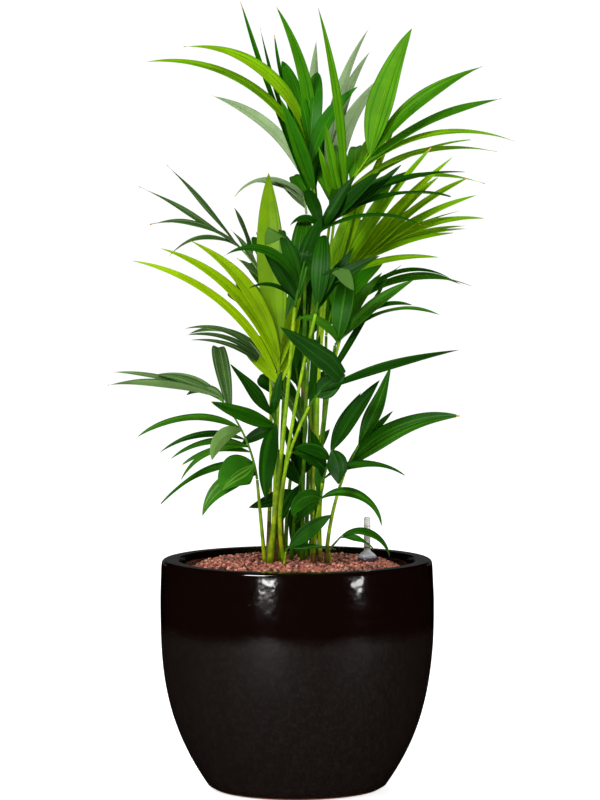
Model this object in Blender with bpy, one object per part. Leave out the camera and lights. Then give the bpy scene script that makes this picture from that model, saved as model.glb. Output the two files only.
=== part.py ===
"""A clump of kentia palm in a glazed pot: slim leaf stalks rising from a bed of
clay granules, each ending in a frond of long pointed leaflets, and a clear
water-level gauge standing in the bed.

Metres, +Z up. The origin is the middle of the pot's flat underside and -Y is
the front. The pot is turned from a profile formula. Each frond is worked out
from a few sizes: where its stalk stands, where its rib begins and which way it
runs, and for each run of leaflets along the rib how many there are and how
their heading, bend, lean, length and width go from the lowest to the uppermost.
A seeded rule grows the leaflets from those sizes. A leaflet is a thin tapering
blade. Where blades or stalks of different fronds would touch, a loop moves them
apart in depth, which leaves the front elevation as it is.
"""
import math
import random

import bpy
import bmesh
import numpy as np
from mathutils.bvhtree import BVHTree

# ---------------------------------------------------------------- sizes, metres
POT_HEIGHT = 0.360
POT_R_MAX = 0.215          # widest, just below the rim
POT_R_FOOT = 0.137         # where the curved wall meets the rounded foot
POT_BELLY = 0.290          # height above which the wall is nearly upright
POT_CURVE = 2.7            # how fast the wall draws in below the belly
POT_FLAT_R = 0.122         # flat underside
POT_RIM_OUT = 0.2125
POT_RIM_IN = 0.1850
POT_FLOOR = 0.030
POT_WALL = 0.030
BED_TOP = 0.3560           # level part of the granule bed
BED_FLAT_R = 0.138
BED_EDGE_R = 0.168
BED_EDGE_Z = 0.3430
GAP = 0.0003               # left between solids that rest on each other
STEM_FOOT_Z = BED_TOP + GAP

GAUGE_X, GAUGE_Y = 0.1106, 0.005
GAUGE_TUBE_R = 0.0051
GAUGE_CAP_R = 0.0148
GAUGE_CAP_Z = 0.3650       # top of the straight collar
GAUGE_NECK_Z = 0.3745      # where the cone meets the tube
GAUGE_TOP_Z = 0.4255

# The front elevation is drawn as it is seen from this eye, so a point (u, v) of
# it at depth y is found on the line from the eye. u runs right of the pot's
# axis and v up from the ground line, both measured at the axis.
EYE = (0.0051, -5.5, 0.9485)
EYE_TILT = math.radians(3.52)
EYE_REACH = 5.5
EYE_U, EYE_V = 0.0051, 0.6036

STALK_R_FOOT = 0.0035      # stalk at the bed
STALK_R_HUB = 0.0021       # stalk where the leaflets begin
RIB_R_TIP = 0.0012
BLADE_THICK = 0.0022
CLEAR = 0.0012             # added all round while the blades are moved apart


SEED = 41
SWAY_HEADING, SWAY_BEND, SWAY_LEAN, SWAY_LENGTH = 2.0, 5.0, 3.0, 0.03


def F(name, foot, hub, bow, rib, sides, r=1.0):
    """One frond. foot (x, y) mm on the bed; hub (u, v, depth) mm, where the
    leaflets begin; bow is how far the middle of the stalk stands right of a
    straight line, mm; rib is its heading at foot and tip in degrees (0 right,
    90 up), its lean away from the viewer in degrees and its length in mm;
    r scales the stalk."""
    return dict(name=name, foot=foot, hub=hub, bow=bow, rib=rib, sides=sides, r=r)


def S(n, t, fan, bend, lean, length, width, turn=60, over=0, fold=None):
    """A run of n leaflets between the places t on the rib. A pair gives the
    lowest and the uppermost leaflet, with the rest in even steps. fan is the
    heading at the leaflet's foot and bend what it turns by up to its tip
    (+ falls left, - falls right); lean is away from the viewer, and over is
    what it gains up to the tip, all in degrees; length and width in mm; turn is
    the blade's own (0 upper side to the viewer, 90 upper side up, 180 underside
    to the viewer); fold is the heading and length of a folded tip."""
    return dict(n=n, t=t, fan=fan, bend=bend, lean=lean, length=length, width=width,
                turn=turn, over=over, fold=fold)


def between(size, f):
    return size[0] + (size[1] - size[0]) * f if isinstance(size, tuple) else size


def grow(frond, number):
    """The frond's leaflets, worked out from its runs."""
    rng = random.Random(SEED + number)
    rows = []
    for side in frond["sides"]:
        for k in range(side["n"]):
            f = k / (side["n"] - 1) if side["n"] > 1 else 0.0
            a0 = between(side["fan"], f) + rng.uniform(-1, 1) * SWAY_HEADING
            a1 = a0 + between(side["bend"], f) + rng.uniform(-1, 1) * SWAY_BEND
            l0 = between(side["lean"], f) + rng.uniform(-1, 1) * SWAY_LEAN
            l1 = l0 + between(side["over"], f)
            length = between(side["length"], f) * (1 + rng.uniform(-1, 1) * SWAY_LENGTH)
            row = (between(side["t"], f), a0, a1, l0, l1, length, between(side["width"], f), side["turn"])
            rows.append(row + side["fold"] if side["fold"] else row)
    return rows


# Each side of a frond is a run of leaflets, from the lowest to the uppermost.
FRONDS = [
    F("top_left", foot=(14, 38), hub=(31, 890, 70), bow=0, rib=(94, 100, 12, 100), sides=[
        S(2, t=(0.15, 0.40), fan=(114, 115), bend=(-4, -16), lean=(14, 18), length=(342, 287), width=(20, 15)),
        S(1, t=0.70, fan=112, bend=-16, lean=14, length=232, width=16),
        S(1, t=0.30, fan=106, bend=56, lean=24, length=260, width=26, turn=140),
        S(2, t=(0.85, 1.00), fan=(108, 97), bend=(82, 85), lean=(0, -8), length=(326, 285), width=(22, 30), turn=50),
        S(1, t=0.40, fan=107, bend=6, lean=-18, length=160, width=26, turn=25),
        S(1, t=0.85, fan=87, bend=32, lean=8, length=252, width=24, turn=30),
        S(1, t=0.95, fan=97, bend=14, lean=-20, length=205, width=30, turn=25, over=100),
        S(1, t=0.90, fan=86, bend=0, lean=38, length=228, width=26, turn=145),
        S(1, t=0.95, fan=86, bend=-4, lean=-20, length=178, width=32, turn=12, over=105),
        S(1, t=0.85, fan=80, bend=-44, lean=-22, length=159, width=26, turn=30),
    ]),
    F("top_right", foot=(25, 21), hub=(60, 895, 0), bow=-9, rib=(66, 52, -10, 112), sides=[
        S(3, t=(0.12, 0.60), fan=(36, 46), bend=(-51, -62), lean=(5, -6), length=(245, 273), width=(14, 17)),
        S(2, t=(0.80, 0.95), fan=(43, 58), bend=(-28, -38), lean=(-8, -15), length=(244, 243), width=(22, 34), turn=50),
        S(1, t=0.97, fan=81, bend=-23, lean=-8, length=216, width=44, turn=25),
        S(1, t=0.30, fan=89, bend=16, lean=8, length=306, width=17, turn=30),
        S(2, t=(0.08, 0.18), fan=(107, 101), bend=-4, lean=(-4, 2), length=(100, 130), width=17, turn=30),
    ]),
    F("pale_back", foot=(26, 74), hub=(55, 905, 120), bow=-12, rib=(95, 70, 15, 36), sides=[
        S(3, t=(0.05, 0.85), fan=(99, 90), bend=(-40, -45), lean=(18, 24), length=(298, 215), width=(26, 34), turn=140),
    ]),
    F("right", foot=(37, 30), hub=(40, 765, 20), bow=-6, rib=(48, 32, -10, 118), sides=[
        S(6, t=(0.10, 1.00), fan=(68, 38), bend=(0, -36), lean=(-6, -10), length=(290, 180), width=(30, 24)),
        S(3, t=(0.40, 0.90), fan=(26, 36), bend=(-36, -24), lean=(-32, 0), length=(190, 150), width=(22, 16), turn=65),
        S(1, t=0.50, fan=64, bend=-30, lean=20, length=115, width=22, turn=105),
    ]),
    F("dark_bundle", foot=(9, 14), hub=(35, 865, -60), bow=-7, rib=(45, 38, -14, 60), sides=[
        S(3, t=(0.30, 1.00), fan=(52, 34), bend=(-13, 8), lean=(-15, 0), length=(128, 108), width=(32, 24), turn=50),
        S(3, t=(0.05, 1.00), fan=(33, 37), bend=(-60, -46), lean=(-30, 14), length=(190, 205), width=(15, 19), turn=65),
        S(1, t=0.02, fan=110, bend=115, lean=0, length=62, width=20),
    ]),
    F("yellow", foot=(-39, 3), hub=(-28, 620, -20), bow=0, rib=(90, 88, 0, 72), sides=[
        S(3, t=(0.12, 0.62), fan=(108, 102), bend=(62, 57), lean=(-10, -16), length=(312, 250), width=(17, 26), turn=35),
        S(1, t=1.00, fan=96, bend=-4, lean=-10, length=290, width=46, turn=5, over=50),
        S(2, t=(0.10, 0.45), fan=(72, 82), bend=(-6, -14), lean=22, length=(118, 130), width=24, turn=35),
    ]),
    F("left_thin", foot=(-46, 20), hub=(-45, 780, 90), bow=5, rib=(115, 138, 14, 85), sides=[
        S(2, t=(1.00, 0.92), fan=(128, 143), bend=(8, 12), lean=(12, 4), length=(172, 186), width=12, turn=50),
        S(2, t=(0.90, 0.96), fan=(138, 146), bend=(62, 84), lean=(-4, -18), length=(150, 122), width=(15, 13), turn=60),
        S(3, t=(0.10, 0.60), fan=(135, 95), bend=(12, 25), lean=(-10, 20), length=(60, 95), width=16),
        S(1, t=0.10, fan=96, bend=0, lean=20, length=185, width=22, over=100),
    ]),
    F("pale_left", foot=(4, 62), hub=(15, 895, 110), bow=0, rib=(95, 102, 12, 28), sides=[
        S(3, t=(0.30, 0.70), fan=(132, 115), bend=(12, 118), lean=(30, 8), length=(65, 135), width=(18, 13), turn=60),
        S(1, t=0.40, fan=116, bend=58, lean=24, length=90, width=26),
    ]),
    F("front_centre", foot=(-43, -28), hub=(-3, 750, -95), bow=2, rib=(80, 74, -10, 90), r=1.25, sides=[
        S(1, t=0.08, fan=123, bend=89, lean=-30, length=101, width=12),
        S(1, t=0.14, fan=114, bend=24, lean=-22, length=112, width=28, turn=20),
        S(1, t=0.26, fan=96, bend=116, lean=-30, length=176, width=18, turn=40),
        S(1, t=0.38, fan=102, bend=12, lean=-16, length=100, width=28, turn=25, fold=(232, 36)),
        S(1, t=0.20, fan=87, bend=-2, lean=-18, length=181, width=34, turn=15, over=110),
    ]),
    F("centre_right", foot=(-33, -15), hub=(30, 740, -140), bow=-9, rib=(80, 76, -10, 38), sides=[
        S(1, t=0.60, fan=74, bend=-32, lean=-20, length=64, width=24, turn=20, fold=(-58, 46)),
        S(1, t=0.35, fan=84, bend=0, lean=-28, length=152, width=32, turn=20, over=120),
        S(1, t=0.90, fan=58, bend=-70, lean=-12, length=60, width=16, turn=45),
    ]),
    F("right_thin", foot=(38, 56), hub=(80, 740, 30), bow=-20, rib=(50, 46, 0, 36), sides=[
        S(3, t=(0.60, 1.00), fan=(40, 50), bend=(-62, -84), lean=(-16, 8), length=(196, 152), width=13, turn=60),
        S(1, t=0.95, fan=44, bend=-10, lean=22, length=86, width=14),
    ]),
    F("right_mid", foot=(27, 3), hub=(60, 690, -60), bow=-5, rib=(46, 42, -10, 26), sides=[
        S(2, t=(0.80, 1.00), fan=(44, 58), bend=(-62, -72), lean=(-22, -12), length=(172, 124), width=(12, 18)),
        S(1, t=0.15, fan=79, bend=0, lean=-22, length=165, width=36, turn=20, over=138),
        S(1, t=0.10, fan=107, bend=92, lean=-35, length=105, width=18, turn=40),
    ]),
    F("front_big", foot=(-20, -24), hub=(20, 595, -90), bow=-22, rib=(56, 48, -12, 30), sides=[
        S(2, t=1.00, fan=(22, 56), bend=(-16, 4), lean=(-20, 18), length=(238, 228), width=(26, 20)),
        S(1, t=0.25, fan=86, bend=-3, lean=15, length=107, width=26),
        S(1, t=0.60, fan=40, bend=-6, lean=-14, length=60, width=36, turn=20, fold=(144, 135)),
    ]),
    F("right_low", foot=(46, -24), hub=(75, 490, -50), bow=-6, rib=(64, 62, -10, 51), sides=[
        S(1, t=0.15, fan=48, bend=-46, lean=-12, length=206, width=38, turn=40),
        S(2, t=(0.62, 0.95), fan=(50, 62), bend=(-6, 8), lean=(14, 4), length=(96, 132), width=(17, 32), turn=45),
    ]),
    F("right_lower_dark", foot=(38, -9), hub=(40, 475, -70), bow=-3, rib=(74, 72, -15, 56), sides=[
        S(2, t=(0.05, 1.00), fan=(41, 58), bend=(-78, -10), lean=(6, -14), length=(135, 138), width=(15, 32), turn=45),
        S(2, t=(0.35, 0.70), fan=(124, 140), bend=(50, 48), lean=(-28, -20), length=(70, 62), width=26, turn=40),
        S(1, t=0.95, fan=-60, bend=-40, lean=-30, length=64, width=34, turn=20),
    ]),
    F("low_small", foot=(25, -26), hub=(36, 442, -60), bow=-2, rib=(82, 76, -8, 14), sides=[
        S(1, t=0.50, fan=32, bend=-116, lean=-20, length=132, width=20, turn=50),
        S(1, t=0.60, fan=152, bend=118, lean=-36, length=80, width=30, turn=30),
    ]),
    F("low_right_tiny", foot=(52, -6), hub=(50, 368, -18), bow=0, rib=(52, 46, -8, 30), sides=[
        S(2, t=(0.90, 1.00), fan=(12, 30), bend=(-60, -108), lean=(-22, -6), length=(64, 96), width=(12, 16), turn=50),
    ]),
    F("foot_front", foot=(-20, -52), hub=(-17, 368, -54), bow=0, rib=(50, 45, 0, 9), r=0.6, sides=[
        S(2, t=(0.40, 1.00), fan=(12, 42), bend=(-24, -6), lean=-17, length=(68, 88), width=(10, 28), turn=30),
    ]),
    F("low_left", foot=(-50, -12), hub=(-62, 480, -25), bow=0, rib=(98, 132, -14, 148), sides=[
        S(1, t=0.06, fan=187, bend=60, lean=-20, length=122, width=32, turn=35),
        S(1, t=0.16, fan=190, bend=52, lean=-34, length=84, width=54, turn=10),
        S(2, t=(0.20, 0.36), fan=(180, 168), bend=(48, 72), lean=-12, length=(166, 130), width=15, turn=50),
        S(3, t=(0.30, 0.44), fan=(160, 157), bend=(54, 60), lean=(-6, 6), length=(118, 148), width=15, turn=50),
        S(1, t=0.58, fan=154, bend=64, lean=-12, length=172, width=17, turn=50),
        S(1, t=0.56, fan=186, bend=84, lean=-30, length=86, width=28, turn=150),
        S(2, t=(1.00, 0.95), fan=(158, 138), bend=(30, 36), lean=(-4, 12), length=(180, 117), width=(17, 24), turn=45),
        S(2, t=(0.92, 0.97), fan=(116, 152), bend=(100, 26), lean=(10, 14), length=(68, 178), width=(20, 12), turn=45),
        S(1, t=0.80, fan=100, bend=0, lean=5, length=215, width=27, turn=20, over=112),
    ]),
    F("left_dark", foot=(-27, 4), hub=(-31, 555, -40), bow=0, rib=(100, 112, -12, 28), sides=[
        S(2, t=(0.30, 0.90), fan=(166, 130), bend=(-12, 0), lean=(-28, -12), length=(123, 104), width=(32, 26), turn=45),
        S(1, t=0.45, fan=250, bend=22, lean=-26, length=140, width=30, turn=20),
    ]),
    F("left_grey", foot=(-34, 36), hub=(-34, 620, 50), bow=0, rib=(105, 118, 25, 42), sides=[
        S(4, t=(0.80, 1.00), fan=(132, 108), bend=(52, 92), lean=(-12, 24), length=(140, 162), width=(16, 22), turn=65),
        S(1, t=0.90, fan=120, bend=26, lean=20, length=80, width=22, turn=110),
        S(1, t=0.20, fan=-42, bend=-30, lean=-20, length=88, width=26),
    ]),
    F("centre_low", foot=(-9, 30), hub=(0, 447, 20), bow=-1, rib=(82, 78, -8, 48), sides=[
        S(3, t=(0.75, 1.00), fan=(107, 86), bend=0, lean=(7, 22), length=(96, 110), width=(32, 24)),
        S(1, t=0.50, fan=240, bend=14, lean=-34, length=74, width=28),
    ]),
    # the far half of the crown, which leans away from the viewer
    F("back_left", foot=(-22, 68), hub=(-14, 695, 105), bow=-6, rib=(98, 106, 28, 100), sides=[
        S(2, t=(0.0, 0.9), fan=(124, 106), bend=(20, 18), lean=(15, 30), length=225, width=31, turn=20, over=75),
        S(2, t=(0.3, 1.0), fan=(74, 88), bend=(-18, -8), lean=(12, 24), length=(200, 190), width=29, turn=28, over=70),
    ]),
    F("back_middle", foot=(-2, 88), hub=(12, 670, 120), bow=5, rib=(88, 84, 24, 90), sides=[
        S(2, t=(0.0, 0.8), fan=(120, 98), bend=(34, 10), lean=(20, 28), length=210, width=33, turn=22, over=72),
        S(2, t=(0.3, 1.0), fan=(62, 84), bend=(-28, -8), lean=(20, 30), length=(205, 190), width=31, turn=22, over=72),
    ]),
    F("back_right", foot=(20, 98), hub=(46, 705, 112), bow=6, rib=(80, 68, 28, 100), sides=[
        S(2, t=(0.0, 0.5), fan=(100, 92), bend=20, lean=26, length=215, width=30, turn=22, over=72),
        S(2, t=(0.3, 1.0), fan=(56, 76), bend=(-20, -10), lean=(14, 24), length=(205, 190), width=30, turn=26, over=68),
    ]),
    F("back_low", foot=(-18, 96), hub=(6, 585, 125), bow=-5, rib=(94, 98, 30, 80), sides=[
        S(2, t=(0.0, 0.6), fan=(132, 116), bend=40, lean=38, length=195, width=32, turn=22, over=55),
        S(2, t=(0.2, 1.0), fan=(48, 88), bend=(-34, 0), lean=38, length=(190, 180), width=31, turn=22, over=60),
    ]),
]

SPEAR = F("spear", foot=(34, 88), hub=(4, 640, 84), bow=12, rib=(118, 118, 0, 14), sides=[], r=0.8)


# ------------------------------------------------------------- front elevation
def place(u, v, y):
    """World point at (u, v) of the front elevation and depth y."""
    c, s = math.cos(EYE_TILT), math.sin(EYE_TILT)
    du, dv = u - EYE_U, v - EYE_V
    d = (du, c * EYE_REACH + s * dv, -s * EYE_REACH + c * dv)
    k = (y - EYE[1]) / d[1]
    return np.array([EYE[0] + d[0] * k, y, EYE[2] + d[2] * k])


def elevation(p):
    """(u, v) of a world point in the front elevation."""
    c, s = math.cos(EYE_TILT), math.sin(EYE_TILT)
    x, y, z = p[0] - EYE[0], p[1] - EYE[1], p[2] - EYE[2]
    k = EYE_REACH / (c * y - s * z)
    return EYE_U + x * k, EYE_V + (s * y + c * z) * k


def sweep(a0, a1, l0, l1, length, n=24):
    """A line that starts at 0 and turns evenly from heading a0 to a1 and from
    lean l0 to l1: its n + 1 points as (u, v, depth), and its directions."""
    s = (np.arange(n) + 0.5) / n
    a, l = np.radians(a0 + (a1 - a0) * s), np.radians(l0 + (l1 - l0) * s)
    d = np.stack([np.cos(a) * np.cos(l), np.sin(a) * np.cos(l), np.sin(l)], 1)
    return np.vstack([np.zeros(3), np.cumsum(d * length / n, 0)])


def ease(x):
    x = min(1.0, max(0.0, x))
    return x * x * (3 - 2 * x)


# ------------------------------------------------------------------- limb lines
class Stalk:
    """Leaf stalk from the bed to its hub, then the rib of the frond."""

    def __init__(self, f):
        self.f, self.push = f, 0.0
        foot = np.array([f["foot"][0] / 1000, f["foot"][1] / 1000, STEM_FOOT_Z])
        u, v = elevation(foot)
        self.a = np.array([u, v, foot[1]])
        self.b = np.array(f["hub"], float) / 1000
        a0, a1, lean, length = f["rib"]
        self.rib = sweep(a0, a1, lean, lean, length / 1000) + self.b

    def stalk_point(self, s):
        p = self.a + (self.b - self.a) * s
        w = 4 * s * (1 - s)
        return place(p[0] + self.f["bow"] / 1000 * w, p[1], p[2] + self.push * w)

    def rib_uvy(self, t):
        x = t * (len(self.rib) - 1)
        i = min(int(x), len(self.rib) - 2)
        return self.rib[i] + (self.rib[i + 1] - self.rib[i]) * (x - i)

    def rib_point(self, t):
        return place(*self.rib_uvy(t))


class Leaflet:
    """Centre line and frame of one leaflet, from its row of sizes."""

    def __init__(self, stalk, row):
        t, a0, a1, l0, l1, length, width, turn = row[:8]
        self.row, self.width, self.push = row, width / 1000, 0.0
        t = max(t, 5.0 / stalk.f["rib"][3])          # clear of the stalk's end
        self.uvy = sweep(a0, a1, l0, l1, length / 1000) + stalk.rib_uvy(t)
        self.a0, self.a1, self.l0, self.l1, self.turn = a0, a1, l0, l1, turn
        self.sigma = -1.0 if math.cos(math.radians(a1)) > 0 else 1.0
        self.fold = None
        if len(row) > 8:
            self.fold = sweep(row[8], row[8], -20, -20, row[9] / 1000, 8)

    def centre(self, s):
        x = s * (len(self.uvy) - 1)
        i = min(int(x), len(self.uvy) - 2)
        p = self.uvy[i] + (self.uvy[i + 1] - self.uvy[i]) * (x - i)
        return place(p[0], p[1], p[2] + self.push * ease(s / 0.35))

    def frame(self, s):
        a = math.radians(self.a0 + (self.a1 - self.a0) * s)
        l = math.radians(self.l0 + (self.l1 - self.l0) * s)
        along = np.array([math.cos(a) * math.cos(l), math.sin(l), math.sin(a) * math.cos(l)])
        across = np.array([math.sin(a), 0.0, -math.cos(a)])
        face = np.cross(across, along)
        k = math.radians(self.turn)
        normal = math.cos(k) * face + math.sin(k) * self.sigma * across
        return np.cross(along, normal), normal

    @staticmethod
    def outline(s):
        """Half of the leaflet's width at s, as a part of the full width."""
        if s < 0.38:
            return 0.5 * (0.30 + 0.70 * math.sin(s / 0.38 * math.pi / 2))
        return 0.5 * (1 - ((s - 0.38) / 0.62) ** 1.7) ** 0.9 if s < 1 else 0.0


# ---------------------------------------------------------------------- meshes
def tube(points, radii, sides):
    """Closed tapering tube along points."""
    verts, faces = [], []
    n = len(points)
    for i, p in enumerate(points):
        d = points[min(i + 1, n - 1)] - points[max(i - 1, 0)]
        d = d / np.linalg.norm(d)
        if i == 0:
            d = np.array([0.0, 0.0, 1.0]) if radii[0] >= STALK_R_FOOT * 0.5 and p[2] < STEM_FOOT_Z + 1e-6 else d
        side = np.cross(d, (0.0, 1.0, 0.0))
        side = side / np.linalg.norm(side)
        up = np.cross(side, d)
        for k in range(sides):
            w = 2 * math.pi * k / sides
            verts.append(p + radii[i] * (math.cos(w) * side + math.sin(w) * up))
    for i in range(n - 1):
        for k in range(sides):
            a, b = i * sides + k, i * sides + (k + 1) % sides
            faces.append((a, a + sides, b + sides, b))
    faces.append(tuple(range(sides)))
    faces.append(tuple(reversed(range((n - 1) * sides, n * sides))))
    return verts, faces


def section(c, across, normal, half, thick):
    """Cross-section of a blade: a flat face and a shallow ridge under it."""
    return [c + across * half + normal * thick * 0.3, c - across * half + normal * thick * 0.3,
            c - normal * thick * 0.7]


def close_blade(verts, tip):
    """Faces of a blade through its sections, ending in a point."""
    faces = [(2, 1, 0)]
    n = len(verts) // 3
    for i in range(n - 1):
        for k in range(3):
            a, b = 3 * i + k, 3 * i + (k + 1) % 3
            faces.append((a, b, b + 3, a + 3))
    verts = verts + [tip]
    for k in range(3):
        faces.append((3 * (n - 1) + k, 3 * (n - 1) + (k + 1) % 3, len(verts) - 1))
    return verts, faces


def blade(leaf, stations, extra=0.0):
    """Closed thin blade through the stations, ending in a point."""
    verts = []
    for s in stations:
        across, normal = leaf.frame(s)
        root = np.cross(normal, across) * 0.0022 if s == 0 else 0.0    # through the rib
        verts += section(leaf.centre(s) - root, across, normal, leaf.width * leaf.outline(s) + extra,
                         BLADE_THICK * (1 - 0.4 * s) + 2 * extra)
    return close_blade(verts, leaf.centre(1.0))


def folded_tip(leaf, extra=0.0):
    """The part of a leaflet that is folded over, as a second blade that starts
    inside the first one near its end and lies in front of it."""
    verts = []
    end = leaf.uvy[-1] + np.array([0, 0, leaf.push])
    back = leaf.uvy[-3] + np.array([0, 0, leaf.push])
    heading = math.radians(leaf.row[8])
    along = np.array([math.cos(heading) * 0.94, -0.34, math.sin(heading) * 0.94])
    across = np.array([math.sin(heading), 0.0, -math.cos(heading)])
    normal = np.cross(across, along)
    for s, h in ((0.0, 0.30), (0.3, 0.46), (0.65, 0.30)):
        base = back + (end - back) * min(1.0, s * 4)
        verts += section(place(*(base + leaf.fold[-1] * s)), across, normal,
                         leaf.width * h + extra, BLADE_THICK + 2 * extra)
    return close_blade(verts, place(*(end + leaf.fold[-1])))


def outward(verts, faces):
    """Faces turned so that the closed shape's volume is positive."""
    v = [np.asarray(p, float) for p in verts]
    vol = 0.0
    for f in faces:
        for k in range(1, len(f) - 1):
            vol += np.dot(v[f[0]], np.cross(v[f[k]], v[f[k + 1]]))
    return (verts, faces) if vol > 0 else (verts, [tuple(reversed(f)) for f in faces])


def flat_faced(part):
    """The same shape in triangles. A bent quad is split along the diagonal that
    bulges outwards, so the two sides of a thin blade can't cross."""
    verts, faces = part
    out = []
    for f in faces:
        if len(f) == 4:
            p, q, r, s = (np.asarray(verts[i], float) for i in f)
            if np.dot(np.cross(q - p, r - p), s - p) <= 0:
                out += [(f[0], f[1], f[2]), (f[0], f[2], f[3])]
            else:
                out += [(f[0], f[1], f[3]), (f[1], f[2], f[3])]
        else:
            out += [(f[0], f[k], f[k + 1]) for k in range(1, len(f) - 1)]
    return verts, out


def stations_of(leaf):
    n = leaf.row[5]
    if n < 125:
        return (0.0, 0.45)
    if n < 225:
        return (0.0, 0.38, 0.72)
    return (0.0, 0.28, 0.54, 0.80)


def leaf_parts(leaf, extra=0.0):
    parts = [flat_faced(outward(*blade(leaf, stations_of(leaf), extra)))]
    if leaf.fold is not None:
        parts.append(flat_faced(outward(*folded_tip(leaf, extra))))
    return parts


def stalk_points(stalk, n):
    top = 1.0 - (0.0012 + GAP) / np.linalg.norm(stalk.stalk_point(1.0) - stalk.stalk_point(0.0))
    return [stalk.stalk_point(top * i / n) for i in range(n + 1)]


def stalk_part(stalk, extra=0.0, sides=5):
    n = 3 if abs(stalk.f["bow"]) > 8 else 2
    r = stalk.f["r"]
    radii = [(STALK_R_FOOT + (STALK_R_HUB - STALK_R_FOOT) * (i / n) ** 0.6) * r + extra for i in range(n + 1)]
    return outward(*tube(stalk_points(stalk, n), radii, sides))


def rib_part(stalk, extra=0.0, n=2, sides=4):
    r0 = STALK_R_HUB * stalk.f["r"]
    radii = [r0 + (RIB_R_TIP - r0) * i / n + extra for i in range(n + 1)]
    return flat_faced(outward(*tube([stalk.rib_point(i / n) for i in range(n + 1)], radii, sides)))


# -------------------------------------------------- moving the fronds apart
def tree_of(parts):
    verts, faces = [], []
    for v, f in parts:
        k = len(verts)
        verts += [tuple(p) for p in v]
        faces += [tuple(i + k for i in q) for q in f]
    return BVHTree.FromPolygons(verts, faces, all_triangles=False, epsilon=0.0)


def box_of(parts):
    p = np.array([q for v, f in parts for q in v])
    return p.min(0), p.max(0)


def move_apart(stalks, leaves, fixed, rounds=240, step=0.0018):
    """stalks: list of Stalk; leaves: list of (frond number, Leaflet); fixed:
    shapes that stay. Pushes run along the depth only."""
    items = [("s", i, s) for i, s in enumerate(stalks)] + [("l", i, l) for i, l in leaves]
    items += [("r", i, s) for i, s in enumerate(stalks) if s.f["sides"]]
    sign = {}

    def parts(kind, obj):
        if kind == "s":
            return [stalk_part(obj, CLEAR / 2)]
        if kind == "r":
            return [rib_part(obj, CLEAR / 2)]
        return leaf_parts(obj, CLEAR / 2)

    def line(kind, obj, n=36):
        at = {"l": "centre", "s": "stalk_point", "r": "rib_point"}[kind]
        return np.array([getattr(obj, at)(k / n) for k in range(n + 1)])

    def behind(p, q):
        """1 where line p passes behind line q, else -1."""
        d = p[:, None, :] - q[None, :, :]
        w = d[..., 0] ** 2 + d[..., 2] ** 2 + 0.15 * d[..., 1] ** 2
        i, j = np.unravel_index(np.argmin(w), w.shape)
        return 1.0 if d[i, j, 1] >= 0 else -1.0

    cache = {}
    for n in range(rounds):
        live = []
        for k, (kind, i, obj) in enumerate(items):
            if k not in cache:
                pp = parts(kind, obj)
                cache[k] = (tree_of(pp), *box_of(pp))
            live.append(cache[k])
        moved, hits, touching = {}, 0, []
        for x in range(len(items)):
            kx, ix, ox = items[x]
            tx, lx, hx = live[x]
            for y in range(x + 1, len(items)):
                ky, iy, oy = items[y]
                own = ix == iy and kx == "s" and ky == "l"
                if ix == iy and not own:
                    continue
                ty, ly, hy = live[y]
                if (lx > hy).any() or (ly > hx).any():
                    continue
                pairs = tx.overlap(ty)
                if not pairs:
                    continue
                if kx == "r" and ky == "r":
                    continue
                hits += 1
                touching.append((kx, stalks[ix].f["name"], ky, stalks[iy].f["name"]))
                if own:                       # a leaflet hangs in front of its own stalk
                    moved[y] = moved.get(y, 0.0) - (1.0 if oy.l0 < 8 else -1.0)
                    continue
                key = (x, y)
                if key not in sign or n % 50 == 49:
                    sign[key] = behind(line(kx, ox), line(ky, oy))
                if kx != "r":
                    moved[x] = moved.get(x, 0.0) + sign[key]
                if ky != "r":
                    moved[y] = moved.get(y, 0.0) - sign[key]
        for tree, lo, hi in fixed:
            for x in range(len(items)):
                tx, lx, hx = live[x]
                if items[x][0] == "l" and not ((lx > hi).any() or (lo > hx).any()) and tx.overlap(tree):
                    moved[x] = moved.get(x, 0.0) - 1.0
                    touching.append(items[x][0] + " " + stalks[items[x][1]].f["name"] + " gauge")
                    hits += 1
        if not hits:
            return n, 0
        for x, m in moved.items():
            if m:
                kind, i, obj = items[x]
                obj.push += step * (0.6 if kind == "s" else 1.0) * max(-1.5, min(1.5, m))
                cache.pop(x, None)
    print(touching)
    return rounds, hits


# ------------------------------------------------------------------- materials
def material(name, colour, rough, metallic=0.0):
    m = bpy.data.materials.new(name)
    m.use_nodes = True
    b = m.node_tree.nodes["Principled BSDF"]
    b.inputs["Base Color"].default_value = (*colour, 1)
    b.inputs["Roughness"].default_value = rough
    b.inputs["Metallic"].default_value = metallic
    return m


def new_object(name, verts, faces, mat, smooth=False):
    me = bpy.data.meshes.new(name)
    me.from_pydata([tuple(v) for v in verts], [], faces)
    me.update()
    if smooth:
        me.shade_smooth()
        me.set_sharp_from_angle(angle=math.radians(40))
    ob = bpy.data.objects.new(name, me)
    ob.data.materials.append(mat)
    bpy.context.scene.collection.objects.link(ob)
    return ob


# ---------------------------------------------------------------------- turned
def turned(profile, segments, centre=(0.0, 0.0)):
    """Solid turned from a profile of (r, z), which starts and ends on the axis
    and runs up the outside."""
    verts, faces, rings = [], [], []
    for r, z in profile:
        if r < 1e-9:
            rings.append([len(verts)])
            verts.append((centre[0], centre[1], z))
        else:
            rings.append(list(range(len(verts), len(verts) + segments)))
            for k in range(segments):
                w = 2 * math.pi * k / segments
                verts.append((centre[0] + r * math.cos(w), centre[1] + r * math.sin(w), z))
    for a, b in zip(rings, rings[1:]):
        for k in range(segments):
            j = (k + 1) % segments
            if len(a) == 1:
                faces.append((a[0], b[k], b[j]))
            elif len(b) == 1:
                faces.append((a[k], b[0], a[j]))
            else:
                faces.append((a[k], b[k], b[j], a[j]))
    return outward(verts, faces)


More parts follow.
